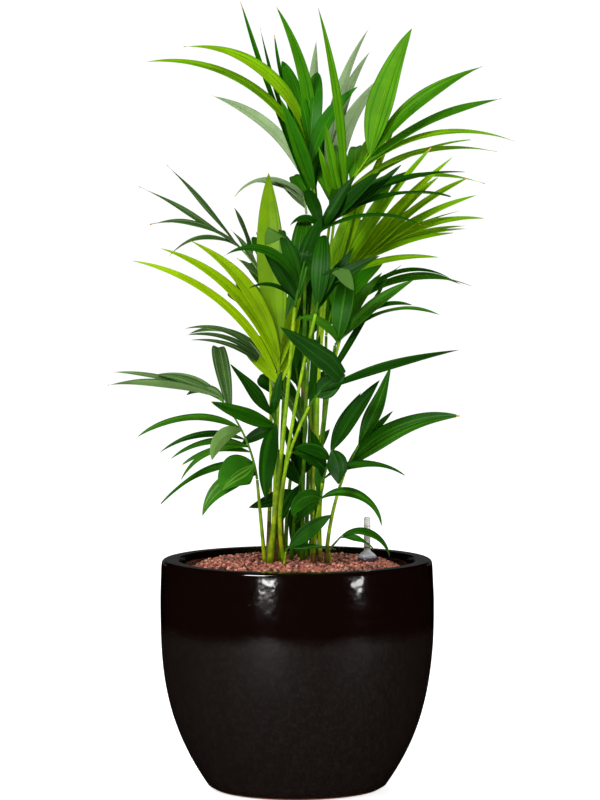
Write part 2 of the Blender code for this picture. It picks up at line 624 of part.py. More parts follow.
def pot_outer(z):
    if z >= POT_BELLY:
        return POT_R_MAX - 0.002 * ease((z - POT_BELLY) / (POT_HEIGHT - POT_BELLY))
    return POT_R_MAX - (POT_R_MAX - POT_R_FOOT) * (1 - z / POT_BELLY) ** POT_CURVE


def pot_inner(z):
    """Inner wall, which draws in a little just under the rim."""
    return min(pot_outer(z) - POT_WALL, POT_RIM_IN - 0.007 * ease((POT_HEIGHT - 0.004 - z) / 0.036))


def pot_profile():
    out = [(0.0, 0.0), (POT_FLAT_R, 0.0), (POT_R_FOOT - 0.003, 0.0022)]
    heights = [0.012, 0.036, 0.068, 0.108, 0.155, 0.210, 0.275, 0.335]
    out += [(pot_outer(z), z) for z in heights]
    edge = 0.006
    r = POT_RIM_OUT
    for k in range(3):
        w = math.pi / 2 * k / 2
        out.append((r - edge + edge * math.cos(w), POT_HEIGHT - edge + edge * math.sin(w)))
    edge = 0.004
    for k in range(2):
        w = math.pi / 2 * k
        out.append((POT_RIM_IN + edge - edge * math.sin(w), POT_HEIGHT - edge + edge * math.cos(w)))
    for z in (0.335, 0.240, 0.070):
        out.append((pot_inner(z), z))
    out += [(pot_inner(0.070) - 0.020, POT_FLOOR), (0.0, POT_FLOOR)]
    return out


def bed_profile():
    out = [(0.0, POT_FLOOR + GAP), (pot_inner(0.070) - 0.0235, POT_FLOOR + GAP)]
    for z in (0.070, 0.240, 0.330):
        out.append((pot_inner(z) - 0.0035, z))
    out += [(BED_EDGE_R, BED_EDGE_Z), ((BED_EDGE_R + BED_FLAT_R) / 2, BED_TOP - 0.004), (BED_FLAT_R, BED_TOP), (0.0, BED_TOP)]
    return out


# ------------------------------------------------------------------------ build
def joined(base, tools, solver):
    """Mesh of base with each tool joined on in turn."""
    keep = base.data
    for ob in tools:
        mod = base.modifiers.new("join", "BOOLEAN")
        mod.operation = "UNION"
        mod.solver = solver
        mod.object = ob
        bpy.context.view_layer.update()
        dg = bpy.context.evaluated_depsgraph_get()
        me = bpy.data.meshes.new_from_object(base.evaluated_get(dg), depsgraph=dg)
        base.modifiers.clear()
        base.data = me
    me, base.data = base.data, keep
    return me


def tidied(me):
    """The mesh with its needless small faces merged, as far as it stays one
    closed piece that keeps its volume; None if it isn't one."""
    whole = bmesh.new()
    whole.from_mesh(me)
    volume = whole.calc_volume()
    whole.free()
    for merge, flat in ((0.0003, 14), (0.0002, 11), (0.0001, 8), (0.00005, 6), (0.00003, 4), (0.00002, 2), (0.00001, 1), (0.000002, 0)):
        for clip in ("BEAUTY", "EAR_CLIP"):
            bm = bmesh.new()
            bm.from_mesh(me)
            bmesh.ops.remove_doubles(bm, verts=bm.verts, dist=merge)
            if flat:
                bmesh.ops.dissolve_limit(bm, angle_limit=math.radians(flat), verts=bm.verts, edges=bm.edges)
            bmesh.ops.triangulate(bm, faces=bm.faces, ngon_method=clip)
            bmesh.ops.dissolve_degenerate(bm, dist=NEEDLE, edges=bm.edges)
            bmesh.ops.triangulate(bm, faces=bm.faces)
            drop_crumbs(bm)
            out = None
            kept = abs(bm.calc_volume() - volume) < 0.05 * volume
            kept = kept and not any(thin(f) for f in bm.faces)
            if kept and all(len(e.link_faces) == 2 for e in bm.edges) and len(groups(bm)) == 1 and sound(bm):
                out = bpy.data.meshes.new(me.name)
                bm.to_mesh(out)
            bm.free()
            if out is not None:
                return out
    return None


NEEDLE = 0.000003


def thin(f):
    return 2 * f.calc_area() < NEEDLE * max(e.calc_length() for e in f.edges)


def sound(bm):
    """Whether the inside lies once behind every face. Where two walls have
    passed through each other, the winding number there isn't one."""
    tri = np.array([[tuple(v.co) for v in f.verts] for f in bm.faces], float)
    normal = np.cross(tri[:, 1] - tri[:, 0], tri[:, 2] - tri[:, 0])
    normal /= np.linalg.norm(normal, axis=1)[:, None] + 1e-30
    for p in tri.mean(1) - 1e-7 * normal:
        a, b, c = tri[:, 0] - p, tri[:, 1] - p, tri[:, 2] - p
        la, lb, lc = (np.linalg.norm(q, axis=1) for q in (a, b, c))
        top = (a * np.cross(b, c)).sum(1)
        low = la * lb * lc + (a * b).sum(1) * lc + (b * c).sum(1) * la + (c * a).sum(1) * lb
        if not 0.5 < np.arctan2(top, low).sum() / (2 * math.pi) < 1.5:
            return False
    return True


def groups(bm):
    """Lists of the faces of each separate shell, walked across shared edges."""
    seen, out = set(), []
    for start in bm.faces:
        if start in seen:
            continue
        seen.add(start)
        shell, todo = [start], [start]
        while todo:
            for e in todo.pop().edges:
                for g in e.link_faces:
                    if g not in seen:
                        seen.add(g)
                        shell.append(g)
                        todo.append(g)
        out.append(shell)
    return out


def drop_crumbs(bm, size=0.025):
    """Removes the small closed pockets that a join leaves where blades cross."""
    for shell in groups(bm):
        p = np.array([v.co for f in shell for v in f.verts])
        if np.ptp(p, axis=0).max() < size:
            bmesh.ops.delete(bm, geom=shell, context="FACES")
    loose = [v for v in bm.verts if not v.link_faces]
    bmesh.ops.delete(bm, geom=loose, context="VERTS")


def union(name, parts, mat):
    """One closed body from parts that run into each other. Where thin blades
    cross so closely that no join is clean, the parts are shifted by hundredths
    of a millimetre and joined again."""
    rng = random.Random(SEED)
    for attempt in range(12):
        shift = 0.00004 * attempt
        moved = [([np.asarray(p) + [rng.uniform(-shift, shift) for _ in range(3)] for p in v], f) for v, f in parts]
        base = new_object(name, *parts[0], mat)
        tools = [new_object("%s_cut%02d" % (name, k), *p, mat) for k, p in enumerate(moved[1:])]
        out = None
        for solver in ("EXACT", "MANIFOLD"):
            if out is None or not full(out, parts):
                out = tidied(joined(base, tools, solver))
        for ob in tools:
            bpy.data.objects.remove(ob, do_unlink=True)
        if out is not None and reach(out) > 0.9 * max(reach_of(p) for p in parts) and full(out, parts):
            base.data = out
            out.name = name
            return base
        bpy.data.objects.remove(base, do_unlink=True)
    raise ValueError(name + " doesn't join")


def reach(me):
    return float(np.ptp(np.array([v.co for v in me.vertices]), axis=0).max())


def reach_of(part):
    return float(np.ptp(np.array(part[0]), axis=0).max())


def volume_of(part):
    v = np.array([np.asarray(p, float) for p in part[0]])
    f = np.array(part[1])
    return float(np.einsum("ij,ij->i", v[f[:, 0]], np.cross(v[f[:, 1]], v[f[:, 2]])).sum() / 6)


def full(me, parts):
    """Whether the body has the volume of its parts, less what they share."""
    bm = bmesh.new()
    bm.from_mesh(me)
    volume = bm.calc_volume(signed=True)
    bm.free()
    total = sum(volume_of(p) for p in parts)
    return 0.80 * total < volume < 1.03 * total


def main():
    for ob in list(bpy.data.objects):
        bpy.data.objects.remove(ob, do_unlink=True)
    glaze = material("pot_glaze", (0.012, 0.009, 0.007), 0.18)
    clay = material("clay_granules", (0.36, 0.15, 0.10), 0.9)
    clear = material("clear_plastic", (0.80, 0.82, 0.83), 0.1)
    dark = material("smoky_plastic", (0.06, 0.05, 0.06), 0.2)
    stem = material("stalk_green", (0.20, 0.30, 0.02), 0.5)
    leaf_mats = {}

    new_object("pot", *turned(pot_profile(), 24), glaze, smooth=True)
    new_object("clay_bed", *turned(bed_profile(), 16), clay, smooth=True)
    base = [(0.0, STEM_FOOT_Z), (GAUGE_CAP_R, STEM_FOOT_Z), (GAUGE_CAP_R, GAUGE_CAP_Z),
            (GAUGE_TUBE_R, GAUGE_NECK_Z), (0.0, GAUGE_NECK_Z)]
    tube_profile = [(0.0, GAUGE_NECK_Z + GAP), (GAUGE_TUBE_R, GAUGE_NECK_Z + GAP),
                    (GAUGE_TUBE_R, GAUGE_TOP_Z), (0.0, GAUGE_TOP_Z)]
    at = (GAUGE_X, GAUGE_Y)
    new_object("gauge_foot", *turned(base, 14, at), dark)
    new_object("gauge_tube", *turned(tube_profile, 10, at), clear)

    fronds = FRONDS + [SPEAR]
    stalks = [Stalk(f) for f in fronds]
    leaves = [(i, Leaflet(stalks[i], row)) for i, f in enumerate(fronds) for row in grow(f, i)]
    fixed = []
    for shape in (turned(tube_profile, 10, at), turned(base, 14, at)):
        fixed.append((tree_of([shape]), *box_of([shape])))
    rounds, hits = move_apart(stalks, leaves, fixed)
    print("moved apart in", rounds, "rounds,", hits, "left")

    for i, f in enumerate(fronds):
        stalk = stalks[i]
        new_object("stalk_" + f["name"], *stalk_part(stalk), stem, smooth=True)
        if f["sides"]:
            green = material("leaf_" + f["name"], (0.045, 0.16, 0.012), 0.35)
            parts = [rib_part(stalk)]
            for k, leaf in leaves:
                if k == i:
                    parts += leaf_parts(leaf)
            union("frond_" + f["name"], parts, green)


main()
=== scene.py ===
"""The looks of the potted kentia palm: the fronds, stalks, glaze, clay granules
and water gauge in fine detail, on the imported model's frame. The fronds grow by
the same sizes and the same seeded rule as the solids they stand for.
"""
import math
import random

import bpy
import bmesh
import numpy as np
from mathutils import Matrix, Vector
from mathutils.bvhtree import BVHTree


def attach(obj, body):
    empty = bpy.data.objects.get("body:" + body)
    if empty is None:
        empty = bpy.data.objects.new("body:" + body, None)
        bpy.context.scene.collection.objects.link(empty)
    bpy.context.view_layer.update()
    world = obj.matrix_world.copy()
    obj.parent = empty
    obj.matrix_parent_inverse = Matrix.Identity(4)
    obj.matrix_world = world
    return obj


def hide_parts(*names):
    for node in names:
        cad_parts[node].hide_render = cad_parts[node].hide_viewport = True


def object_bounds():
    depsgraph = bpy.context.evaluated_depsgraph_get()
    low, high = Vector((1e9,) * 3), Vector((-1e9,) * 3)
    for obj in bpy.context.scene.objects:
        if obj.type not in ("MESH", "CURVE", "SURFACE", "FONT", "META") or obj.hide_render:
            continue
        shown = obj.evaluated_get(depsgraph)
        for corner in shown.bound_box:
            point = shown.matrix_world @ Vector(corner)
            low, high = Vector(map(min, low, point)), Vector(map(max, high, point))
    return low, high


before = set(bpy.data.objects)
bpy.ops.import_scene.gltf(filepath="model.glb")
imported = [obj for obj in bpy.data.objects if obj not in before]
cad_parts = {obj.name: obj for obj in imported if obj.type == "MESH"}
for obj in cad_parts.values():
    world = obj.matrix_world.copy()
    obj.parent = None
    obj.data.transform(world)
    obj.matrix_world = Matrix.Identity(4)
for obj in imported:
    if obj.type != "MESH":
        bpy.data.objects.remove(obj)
CAD_BOX = [list(c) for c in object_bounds()]

# ---------------------------------------------------------------- sizes, metres
POT_HEIGHT = 0.360
POT_R_MAX = 0.215          # widest, just below the rim
POT_R_FOOT = 0.137         # where the curved wall meets the rounded foot
POT_BELLY = 0.290          # height above which the wall is nearly upright
POT_CURVE = 2.7            # how fast the wall draws in below the belly
POT_FLAT_R = 0.122         # flat underside
POT_RIM_OUT = 0.2125
POT_RIM_IN = 0.1850
POT_FLOOR = 0.030
POT_WALL = 0.030
BED_TOP = 0.3560           # level part of the granule bed
BED_FLAT_R = 0.138
BED_EDGE_R = 0.168
BED_EDGE_Z = 0.3430
GAP = 0.0003               # left between solids that rest on each other
STEM_FOOT_Z = BED_TOP + GAP

GAUGE_X, GAUGE_Y = 0.1106, 0.005
GAUGE_TUBE_R = 0.0051
GAUGE_CAP_R = 0.0148
GAUGE_CAP_Z = 0.3650       # top of the straight collar
GAUGE_NECK_Z = 0.3745      # where the cone meets the tube
GAUGE_TOP_Z = 0.4255

# The front elevation is drawn as it is seen from this eye, so a point (u, v) of
# it at depth y is found on the line from the eye. u runs right of the pot's
# axis and v up from the ground line, both measured at the axis.
EYE = (0.0051, -5.5, 0.9485)
EYE_TILT = math.radians(3.52)
EYE_REACH = 5.5
EYE_U, EYE_V = 0.0051, 0.6036

STALK_R_FOOT = 0.0035      # stalk at the bed
STALK_R_HUB = 0.0021       # stalk where the leaflets begin
RIB_R_TIP = 0.0012
BLADE_THICK = 0.0022
CLEAR = 0.0012             # added all round while the blades are moved apart


SEED = 41
SWAY_HEADING, SWAY_BEND, SWAY_LEAN, SWAY_LENGTH = 2.0, 5.0, 3.0, 0.03


def F(name, foot, hub, bow, rib, sides, r=1.0):
    """One frond. foot (x, y) mm on the bed; hub (u, v, depth) mm, where the
    leaflets begin; bow is how far the middle of the stalk stands right of a
    straight line, mm; rib is its heading at foot and tip in degrees (0 right,
    90 up), its lean away from the viewer in degrees and its length in mm;
    r scales the stalk."""
    return dict(name=name, foot=foot, hub=hub, bow=bow, rib=rib, sides=sides, r=r)


def S(n, t, fan, bend, lean, length, width, turn=60, over=0, fold=None):
    """A run of n leaflets between the places t on the rib. A pair gives the
    lowest and the uppermost leaflet, with the rest in even steps. fan is the
    heading at the leaflet's foot and bend what it turns by up to its tip
    (+ falls left, - falls right); lean is away from the viewer, and over is
    what it gains up to the tip, all in degrees; length and width in mm; turn is
    the blade's own (0 upper side to the viewer, 90 upper side up, 180 underside
    to the viewer); fold is the heading and length of a folded tip."""
    return dict(n=n, t=t, fan=fan, bend=bend, lean=lean, length=length, width=width,
                turn=turn, over=over, fold=fold)


def between(size, f):
    return size[0] + (size[1] - size[0]) * f if isinstance(size, tuple) else size


def grow(frond, number):
    """The frond's leaflets, worked out from its runs."""
    rng = random.Random(SEED + number)
    rows = []
    for side in frond["sides"]:
        for k in range(side["n"]):
            f = k / (side["n"] - 1) if side["n"] > 1 else 0.0
            a0 = between(side["fan"], f) + rng.uniform(-1, 1) * SWAY_HEADING
            a1 = a0 + between(side["bend"], f) + rng.uniform(-1, 1) * SWAY_BEND
            l0 = between(side["lean"], f) + rng.uniform(-1, 1) * SWAY_LEAN
            l1 = l0 + between(side["over"], f)
            length = between(side["length"], f) * (1 + rng.uniform(-1, 1) * SWAY_LENGTH)
            row = (between(side["t"], f), a0, a1, l0, l1, length, between(side["width"], f), side["turn"])
            rows.append(row + side["fold"] if side["fold"] else row)
    return rows


# Each side of a frond is a run of leaflets, from the lowest to the uppermost.
FRONDS = [
    F("top_left", foot=(14, 38), hub=(31, 890, 70), bow=0, rib=(94, 100, 12, 100), sides=[
        S(2, t=(0.15, 0.40), fan=(114, 115), bend=(-4, -16), lean=(14, 18), length=(342, 287), width=(20, 15)),
        S(1, t=0.70, fan=112, bend=-16, lean=14, length=232, width=16),
        S(1, t=0.30, fan=106, bend=56, lean=24, length=260, width=26, turn=140),
        S(2, t=(0.85, 1.00), fan=(108, 97), bend=(82, 85), lean=(0, -8), length=(326, 285), width=(22, 30), turn=50),
        S(1, t=0.40, fan=107, bend=6, lean=-18, length=160, width=26, turn=25),
        S(1, t=0.85, fan=87, bend=32, lean=8, length=252, width=24, turn=30),
        S(1, t=0.95, fan=97, bend=14, lean=-20, length=205, width=30, turn=25, over=100),
        S(1, t=0.90, fan=86, bend=0, lean=38, length=228, width=26, turn=145),
        S(1, t=0.95, fan=86, bend=-4, lean=-20, length=178, width=32, turn=12, over=105),
        S(1, t=0.85, fan=80, bend=-44, lean=-22, length=159, width=26, turn=30),
    ]),
    F("top_right", foot=(25, 21), hub=(60, 895, 0), bow=-9, rib=(66, 52, -10, 112), sides=[
        S(3, t=(0.12, 0.60), fan=(36, 46), bend=(-51, -62), lean=(5, -6), length=(245, 273), width=(14, 17)),
        S(2, t=(0.80, 0.95), fan=(43, 58), bend=(-28, -38), lean=(-8, -15), length=(244, 243), width=(22, 34), turn=50),
        S(1, t=0.97, fan=81, bend=-23, lean=-8, length=216, width=44, turn=25),
        S(1, t=0.30, fan=89, bend=16, lean=8, length=306, width=17, turn=30),
        S(2, t=(0.08, 0.18), fan=(107, 101), bend=-4, lean=(-4, 2), length=(100, 130), width=17, turn=30),
    ]),
    F("pale_back", foot=(26, 74), hub=(55, 905, 120), bow=-12, rib=(95, 70, 15, 36), sides=[
        S(3, t=(0.05, 0.85), fan=(99, 90), bend=(-40, -45), lean=(18, 24), length=(298, 215), width=(26, 34), turn=140),
    ]),
    F("right", foot=(37, 30), hub=(40, 765, 20), bow=-6, rib=(48, 32, -10, 118), sides=[
        S(6, t=(0.10, 1.00), fan=(68, 38), bend=(0, -36), lean=(-6, -10), length=(290, 180), width=(30, 24)),
        S(3, t=(0.40, 0.90), fan=(26, 36), bend=(-36, -24), lean=(-32, 0), length=(190, 150), width=(22, 16), turn=65),
        S(1, t=0.50, fan=64, bend=-30, lean=20, length=115, width=22, turn=105),
    ]),
    F("dark_bundle", foot=(9, 14), hub=(35, 865, -60), bow=-7, rib=(45, 38, -14, 60), sides=[
        S(3, t=(0.30, 1.00), fan=(52, 34), bend=(-13, 8), lean=(-15, 0), length=(128, 108), width=(32, 24), turn=50),
        S(3, t=(0.05, 1.00), fan=(33, 37), bend=(-60, -46), lean=(-30, 14), length=(190, 205), width=(15, 19), turn=65),
        S(1, t=0.02, fan=110, bend=115, lean=0, length=62, width=20),
    ]),
    F("yellow", foot=(-39, 3), hub=(-28, 620, -20), bow=0, rib=(90, 88, 0, 72), sides=[
        S(3, t=(0.12, 0.62), fan=(108, 102), bend=(62, 57), lean=(-10, -16), length=(312, 250), width=(17, 26), turn=35),
        S(1, t=1.00, fan=96, bend=-4, lean=-10, length=290, width=46, turn=5, over=50),
        S(2, t=(0.10, 0.45), fan=(72, 82), bend=(-6, -14), lean=22, length=(118, 130), width=24, turn=35),
    ]),
    F("left_thin", foot=(-46, 20), hub=(-45, 780, 90), bow=5, rib=(115, 138, 14, 85), sides=[
        S(2, t=(1.00, 0.92), fan=(128, 143), bend=(8, 12), lean=(12, 4), length=(172, 186), width=12, turn=50),
        S(2, t=(0.90, 0.96), fan=(138, 146), bend=(62, 84), lean=(-4, -18), length=(150, 122), width=(15, 13), turn=60),
        S(3, t=(0.10, 0.60), fan=(135, 95), bend=(12, 25), lean=(-10, 20), length=(60, 95), width=16),
        S(1, t=0.10, fan=96, bend=0, lean=20, length=185, width=22, over=100),
    ]),
    F("pale_left", foot=(4, 62), hub=(15, 895, 110), bow=0, rib=(95, 102, 12, 28), sides=[
        S(3, t=(0.30, 0.70), fan=(132, 115), bend=(12, 118), lean=(30, 8), length=(65, 135), width=(18, 13), turn=60),
        S(1, t=0.40, fan=116, bend=58, lean=24, length=90, width=26),
    ]),
    F("front_centre", foot=(-43, -28), hub=(-3, 750, -95), bow=2, rib=(80, 74, -10, 90), r=1.25, sides=[
        S(1, t=0.08, fan=123, bend=89, lean=-30, length=101, width=12),
        S(1, t=0.14, fan=114, bend=24, lean=-22, length=112, width=28, turn=20),
        S(1, t=0.26, fan=96, bend=116, lean=-30, length=176, width=18, turn=40),
        S(1, t=0.38, fan=102, bend=12, lean=-16, length=100, width=28, turn=25, fold=(232, 36)),
        S(1, t=0.20, fan=87, bend=-2, lean=-18, length=181, width=34, turn=15, over=110),
    ]),
    F("centre_right", foot=(-33, -15), hub=(30, 740, -140), bow=-9, rib=(80, 76, -10, 38), sides=[
        S(1, t=0.60, fan=74, bend=-32, lean=-20, length=64, width=24, turn=20, fold=(-58, 46)),
        S(1, t=0.35, fan=84, bend=0, lean=-28, length=152, width=32, turn=20, over=120),
        S(1, t=0.90, fan=58, bend=-70, lean=-12, length=60, width=16, turn=45),
    ]),
    F("right_thin", foot=(38, 56), hub=(80, 740, 30), bow=-20, rib=(50, 46, 0, 36), sides=[
        S(3, t=(0.60, 1.00), fan=(40, 50), bend=(-62, -84), lean=(-16, 8), length=(196, 152), width=13, turn=60),
        S(1, t=0.95, fan=44, bend=-10, lean=22, length=86, width=14),
    ]),
    F("right_mid", foot=(27, 3), hub=(60, 690, -60), bow=-5, rib=(46, 42, -10, 26), sides=[
        S(2, t=(0.80, 1.00), fan=(44, 58), bend=(-62, -72), lean=(-22, -12), length=(172, 124), width=(12, 18)),
        S(1, t=0.15, fan=79, bend=0, lean=-22, length=165, width=36, turn=20, over=138),
        S(1, t=0.10, fan=107, bend=92, lean=-35, length=105, width=18, turn=40),
    ]),
    F("front_big", foot=(-20, -24), hub=(20, 595, -90), bow=-22, rib=(56, 48, -12, 30), sides=[
        S(2, t=1.00, fan=(22, 56), bend=(-16, 4), lean=(-20, 18), length=(238, 228), width=(26, 20)),
        S(1, t=0.25, fan=86, bend=-3, lean=15, length=107, width=26),
        S(1, t=0.60, fan=40, bend=-6, lean=-14, length=60, width=36, turn=20, fold=(144, 135)),
    ]),
    F("right_low", foot=(46, -24), hub=(75, 490, -50), bow=-6, rib=(64, 62, -10, 51), sides=[
        S(1, t=0.15, fan=48, bend=-46, lean=-12, length=206, width=38, turn=40),
        S(2, t=(0.62, 0.95), fan=(50, 62), bend=(-6, 8), lean=(14, 4), length=(96, 132), width=(17, 32), turn=45),
    ]),
    F("right_lower_dark", foot=(38, -9), hub=(40, 475, -70), bow=-3, rib=(74, 72, -15, 56), sides=[
        S(2, t=(0.05, 1.00), fan=(41, 58), bend=(-78, -10), lean=(6, -14), length=(135, 138), width=(15, 32), turn=45),
        S(2, t=(0.35, 0.70), fan=(124, 140), bend=(50, 48), lean=(-28, -20), length=(70, 62), width=26, turn=40),
        S(1, t=0.95, fan=-60, bend=-40, lean=-30, length=64, width=34, turn=20),
    ]),
    F("low_small", foot=(25, -26), hub=(36, 442, -60), bow=-2, rib=(82, 76, -8, 14), sides=[
        S(1, t=0.50, fan=32, bend=-116, lean=-20, length=132, width=20, turn=50),
        S(1, t=0.60, fan=152, bend=118, lean=-36, length=80, width=30, turn=30),
    ]),
    F("low_right_tiny", foot=(52, -6), hub=(50, 368, -18), bow=0, rib=(52, 46, -8, 30), sides=[
        S(2, t=(0.90, 1.00), fan=(12, 30), bend=(-60, -108), lean=(-22, -6), length=(64, 96), width=(12, 16), turn=50),
    ]),
    F("foot_front", foot=(-20, -52), hub=(-17, 368, -54), bow=0, rib=(50, 45, 0, 9), r=0.6, sides=[
        S(2, t=(0.40, 1.00), fan=(12, 42), bend=(-24, -6), lean=-17, length=(68, 88), width=(10, 28), turn=30),
    ]),
    F("low_left", foot=(-50, -12), hub=(-62, 480, -25), bow=0, rib=(98, 132, -14, 148), sides=[
        S(1, t=0.06, fan=187, bend=60, lean=-20, length=122, width=32, turn=35),
        S(1, t=0.16, fan=190, bend=52, lean=-34, length=84, width=54, turn=10),
        S(2, t=(0.20, 0.36), fan=(180, 168), bend=(48, 72), lean=-12, length=(166, 130), width=15, turn=50),
        S(3, t=(0.30, 0.44), fan=(160, 157), bend=(54, 60), lean=(-6, 6), length=(118, 148), width=15, turn=50),
        S(1, t=0.58, fan=154, bend=64, lean=-12, length=172, width=17, turn=50),
        S(1, t=0.56, fan=186, bend=84, lean=-30, length=86, width=28, turn=150),
        S(2, t=(1.00, 0.95), fan=(158, 138), bend=(30, 36), lean=(-4, 12), length=(180, 117), width=(17, 24), turn=45),
        S(2, t=(0.92, 0.97), fan=(116, 152), bend=(100, 26), lean=(10, 14), length=(68, 178), width=(20, 12), turn=45),
        S(1, t=0.80, fan=100, bend=0, lean=5, length=215, width=27, turn=20, over=112),
    ]),
    F("left_dark", foot=(-27, 4), hub=(-31, 555, -40), bow=0, rib=(100, 112, -12, 28), sides=[
        S(2, t=(0.30, 0.90), fan=(166, 130), bend=(-12, 0), lean=(-28, -12), length=(123, 104), width=(32, 26), turn=45),
        S(1, t=0.45, fan=250, bend=22, lean=-26, length=140, width=30, turn=20),
    ]),
    F("left_grey", foot=(-34, 36), hub=(-34, 620, 50), bow=0, rib=(105, 118, 25, 42), sides=[
        S(4, t=(0.80, 1.00), fan=(132, 108), bend=(52, 92), lean=(-12, 24), length=(140, 162), width=(16, 22), turn=65),
        S(1, t=0.90, fan=120, bend=26, lean=20, length=80, width=22, turn=110),
        S(1, t=0.20, fan=-42, bend=-30, lean=-20, length=88, width=26),
    ]),
    F("centre_low", foot=(-9, 30), hub=(0, 447, 20), bow=-1, rib=(82, 78, -8, 48), sides=[
        S(3, t=(0.75, 1.00), fan=(107, 86), bend=0, lean=(7, 22), length=(96, 110), width=(32, 24)),
        S(1, t=0.50, fan=240, bend=14, lean=-34, length=74, width=28),
    ]),
    # the far half of the crown, which leans away from the viewer
    F("back_left", foot=(-22, 68), hub=(-14, 695, 105), bow=-6, rib=(98, 106, 28, 100), sides=[
        S(2, t=(0.0, 0.9), fan=(124, 106), bend=(20, 18), lean=(15, 30), length=225, width=31, turn=20, over=75),
        S(2, t=(0.3, 1.0), fan=(74, 88), bend=(-18, -8), lean=(12, 24), length=(200, 190), width=29, turn=28, over=70),
    ]),
    F("back_middle", foot=(-2, 88), hub=(12, 670, 120), bow=5, rib=(88, 84, 24, 90), sides=[
        S(2, t=(0.0, 0.8), fan=(120, 98), bend=(34, 10), lean=(20, 28), length=210, width=33, turn=22, over=72),
        S(2, t=(0.3, 1.0), fan=(62, 84), bend=(-28, -8), lean=(20, 30), length=(205, 190), width=31, turn=22, over=72),
    ]),
    F("back_right", foot=(20, 98), hub=(46, 705, 112), bow=6, rib=(80, 68, 28, 100), sides=[
        S(2, t=(0.0, 0.5), fan=(100, 92), bend=20, lean=26, length=215, width=30, turn=22, over=72),
        S(2, t=(0.3, 1.0), fan=(56, 76), bend=(-20, -10), lean=(14, 24), length=(205, 190), width=30, turn=26, over=68),
    ]),
    F("back_low", foot=(-18, 96), hub=(6, 585, 125), bow=-5, rib=(94, 98, 30, 80), sides=[
        S(2, t=(0.0, 0.6), fan=(132, 116), bend=40, lean=38, length=195, width=32, turn=22, over=55),
        S(2, t=(0.2, 1.0), fan=(48, 88), bend=(-34, 0), lean=38, length=(190, 180), width=31, turn=22, over=60),
    ]),
]

SPEAR = F("spear", foot=(34, 88), hub=(4, 640, 84), bow=12, rib=(118, 118, 0, 14), sides=[], r=0.8)


# ------------------------------------------------------------- front elevation
def place(u, v, y):
    """World point at (u, v) of the front elevation and depth y."""
    c, s = math.cos(EYE_TILT), math.sin(EYE_TILT)
    du, dv = u - EYE_U, v - EYE_V
    d = (du, c * EYE_REACH + s * dv, -s * EYE_REACH + c * dv)
    k = (y - EYE[1]) / d[1]
    return np.array([EYE[0] + d[0] * k, y, EYE[2] + d[2] * k])


def elevation(p):
    """(u, v) of a world point in the front elevation."""
    c, s = math.cos(EYE_TILT), math.sin(EYE_TILT)
    x, y, z = p[0] - EYE[0], p[1] - EYE[1], p[2] - EYE[2]
    k = EYE_REACH / (c * y - s * z)
    return EYE_U + x * k, EYE_V + (s * y + c * z) * k


def sweep(a0, a1, l0, l1, length, n=24):
    """A line that starts at 0 and turns evenly from heading a0 to a1 and from
    lean l0 to l1: its n + 1 points as (u, v, depth), and its directions."""
    s = (np.arange(n) + 0.5) / n
    a, l = np.radians(a0 + (a1 - a0) * s), np.radians(l0 + (l1 - l0) * s)
    d = np.stack([np.cos(a) * np.cos(l), np.sin(a) * np.cos(l), np.sin(l)], 1)
    return np.vstack([np.zeros(3), np.cumsum(d * length / n, 0)])


def ease(x):
    x = min(1.0, max(0.0, x))
    return x * x * (3 - 2 * x)


# ------------------------------------------------------------------- limb lines
class Stalk:
    """Leaf stalk from the bed to its hub, then the rib of the frond."""

    def __init__(self, f):
        self.f, self.push = f, 0.0
        foot = np.array([f["foot"][0] / 1000, f["foot"][1] / 1000, STEM_FOOT_Z])
        u, v = elevation(foot)
        self.a = np.array([u, v, foot[1]])
        self.b = np.array(f["hub"], float) / 1000
        a0, a1, lean, length = f["rib"]
        self.rib = sweep(a0, a1, lean, lean, length / 1000) + self.b

    def stalk_point(self, s):
        p = self.a + (self.b - self.a) * s
        w = 4 * s * (1 - s)
        return place(p[0] + self.f["bow"] / 1000 * w, p[1], p[2] + self.push * w)

    def rib_uvy(self, t):
        x = t * (len(self.rib) - 1)
        i = min(int(x), len(self.rib) - 2)
        return self.rib[i] + (self.rib[i + 1] - self.rib[i]) * (x - i)

    def rib_point(self, t):
        return place(*self.rib_uvy(t))


class Leaflet:
    """Centre line and frame of one leaflet, from its row of sizes."""

    def __init__(self, stalk, row):
        t, a0, a1, l0, l1, length, width, turn = row[:8]
        self.row, self.width, self.push = row, width / 1000, 0.0
        t = max(t, 5.0 / stalk.f["rib"][3])          # clear of the stalk's end
        self.uvy = sweep(a0, a1, l0, l1, length / 1000) + stalk.rib_uvy(t)
        self.a0, self.a1, self.l0, self.l1, self.turn = a0, a1, l0, l1, turn
        self.sigma = -1.0 if math.cos(math.radians(a1)) > 0 else 1.0
        self.fold = None
        if len(row) > 8:
            self.fold = sweep(row[8], row[8], -20, -20, row[9] / 1000, 8)

    def centre(self, s):
        x = s * (len(self.uvy) - 1)
        i = min(int(x), len(self.uvy) - 2)
        p = self.uvy[i] + (self.uvy[i + 1] - self.uvy[i]) * (x - i)
        return place(p[0], p[1], p[2] + self.push * ease(s / 0.35))

    def frame(self, s):
        a = math.radians(self.a0 + (self.a1 - self.a0) * s)
        l = math.radians(self.l0 + (self.l1 - self.l0) * s)
        along = np.array([math.cos(a) * math.cos(l), math.sin(l), math.sin(a) * math.cos(l)])
        across = np.array([math.sin(a), 0.0, -math.cos(a)])
        face = np.cross(across, along)
        k = math.radians(self.turn)
        normal = math.cos(k) * face + math.sin(k) * self.sigma * across
        return np.cross(along, normal), normal

    @staticmethod
    def outline(s):
        """Half of the leaflet's width at s, as a part of the full width."""
        if s < 0.38:
            return 0.5 * (0.30 + 0.70 * math.sin(s / 0.38 * math.pi / 2))
        return 0.5 * (1 - ((s - 0.38) / 0.62) ** 1.7) ** 0.9 if s < 1 else 0.0


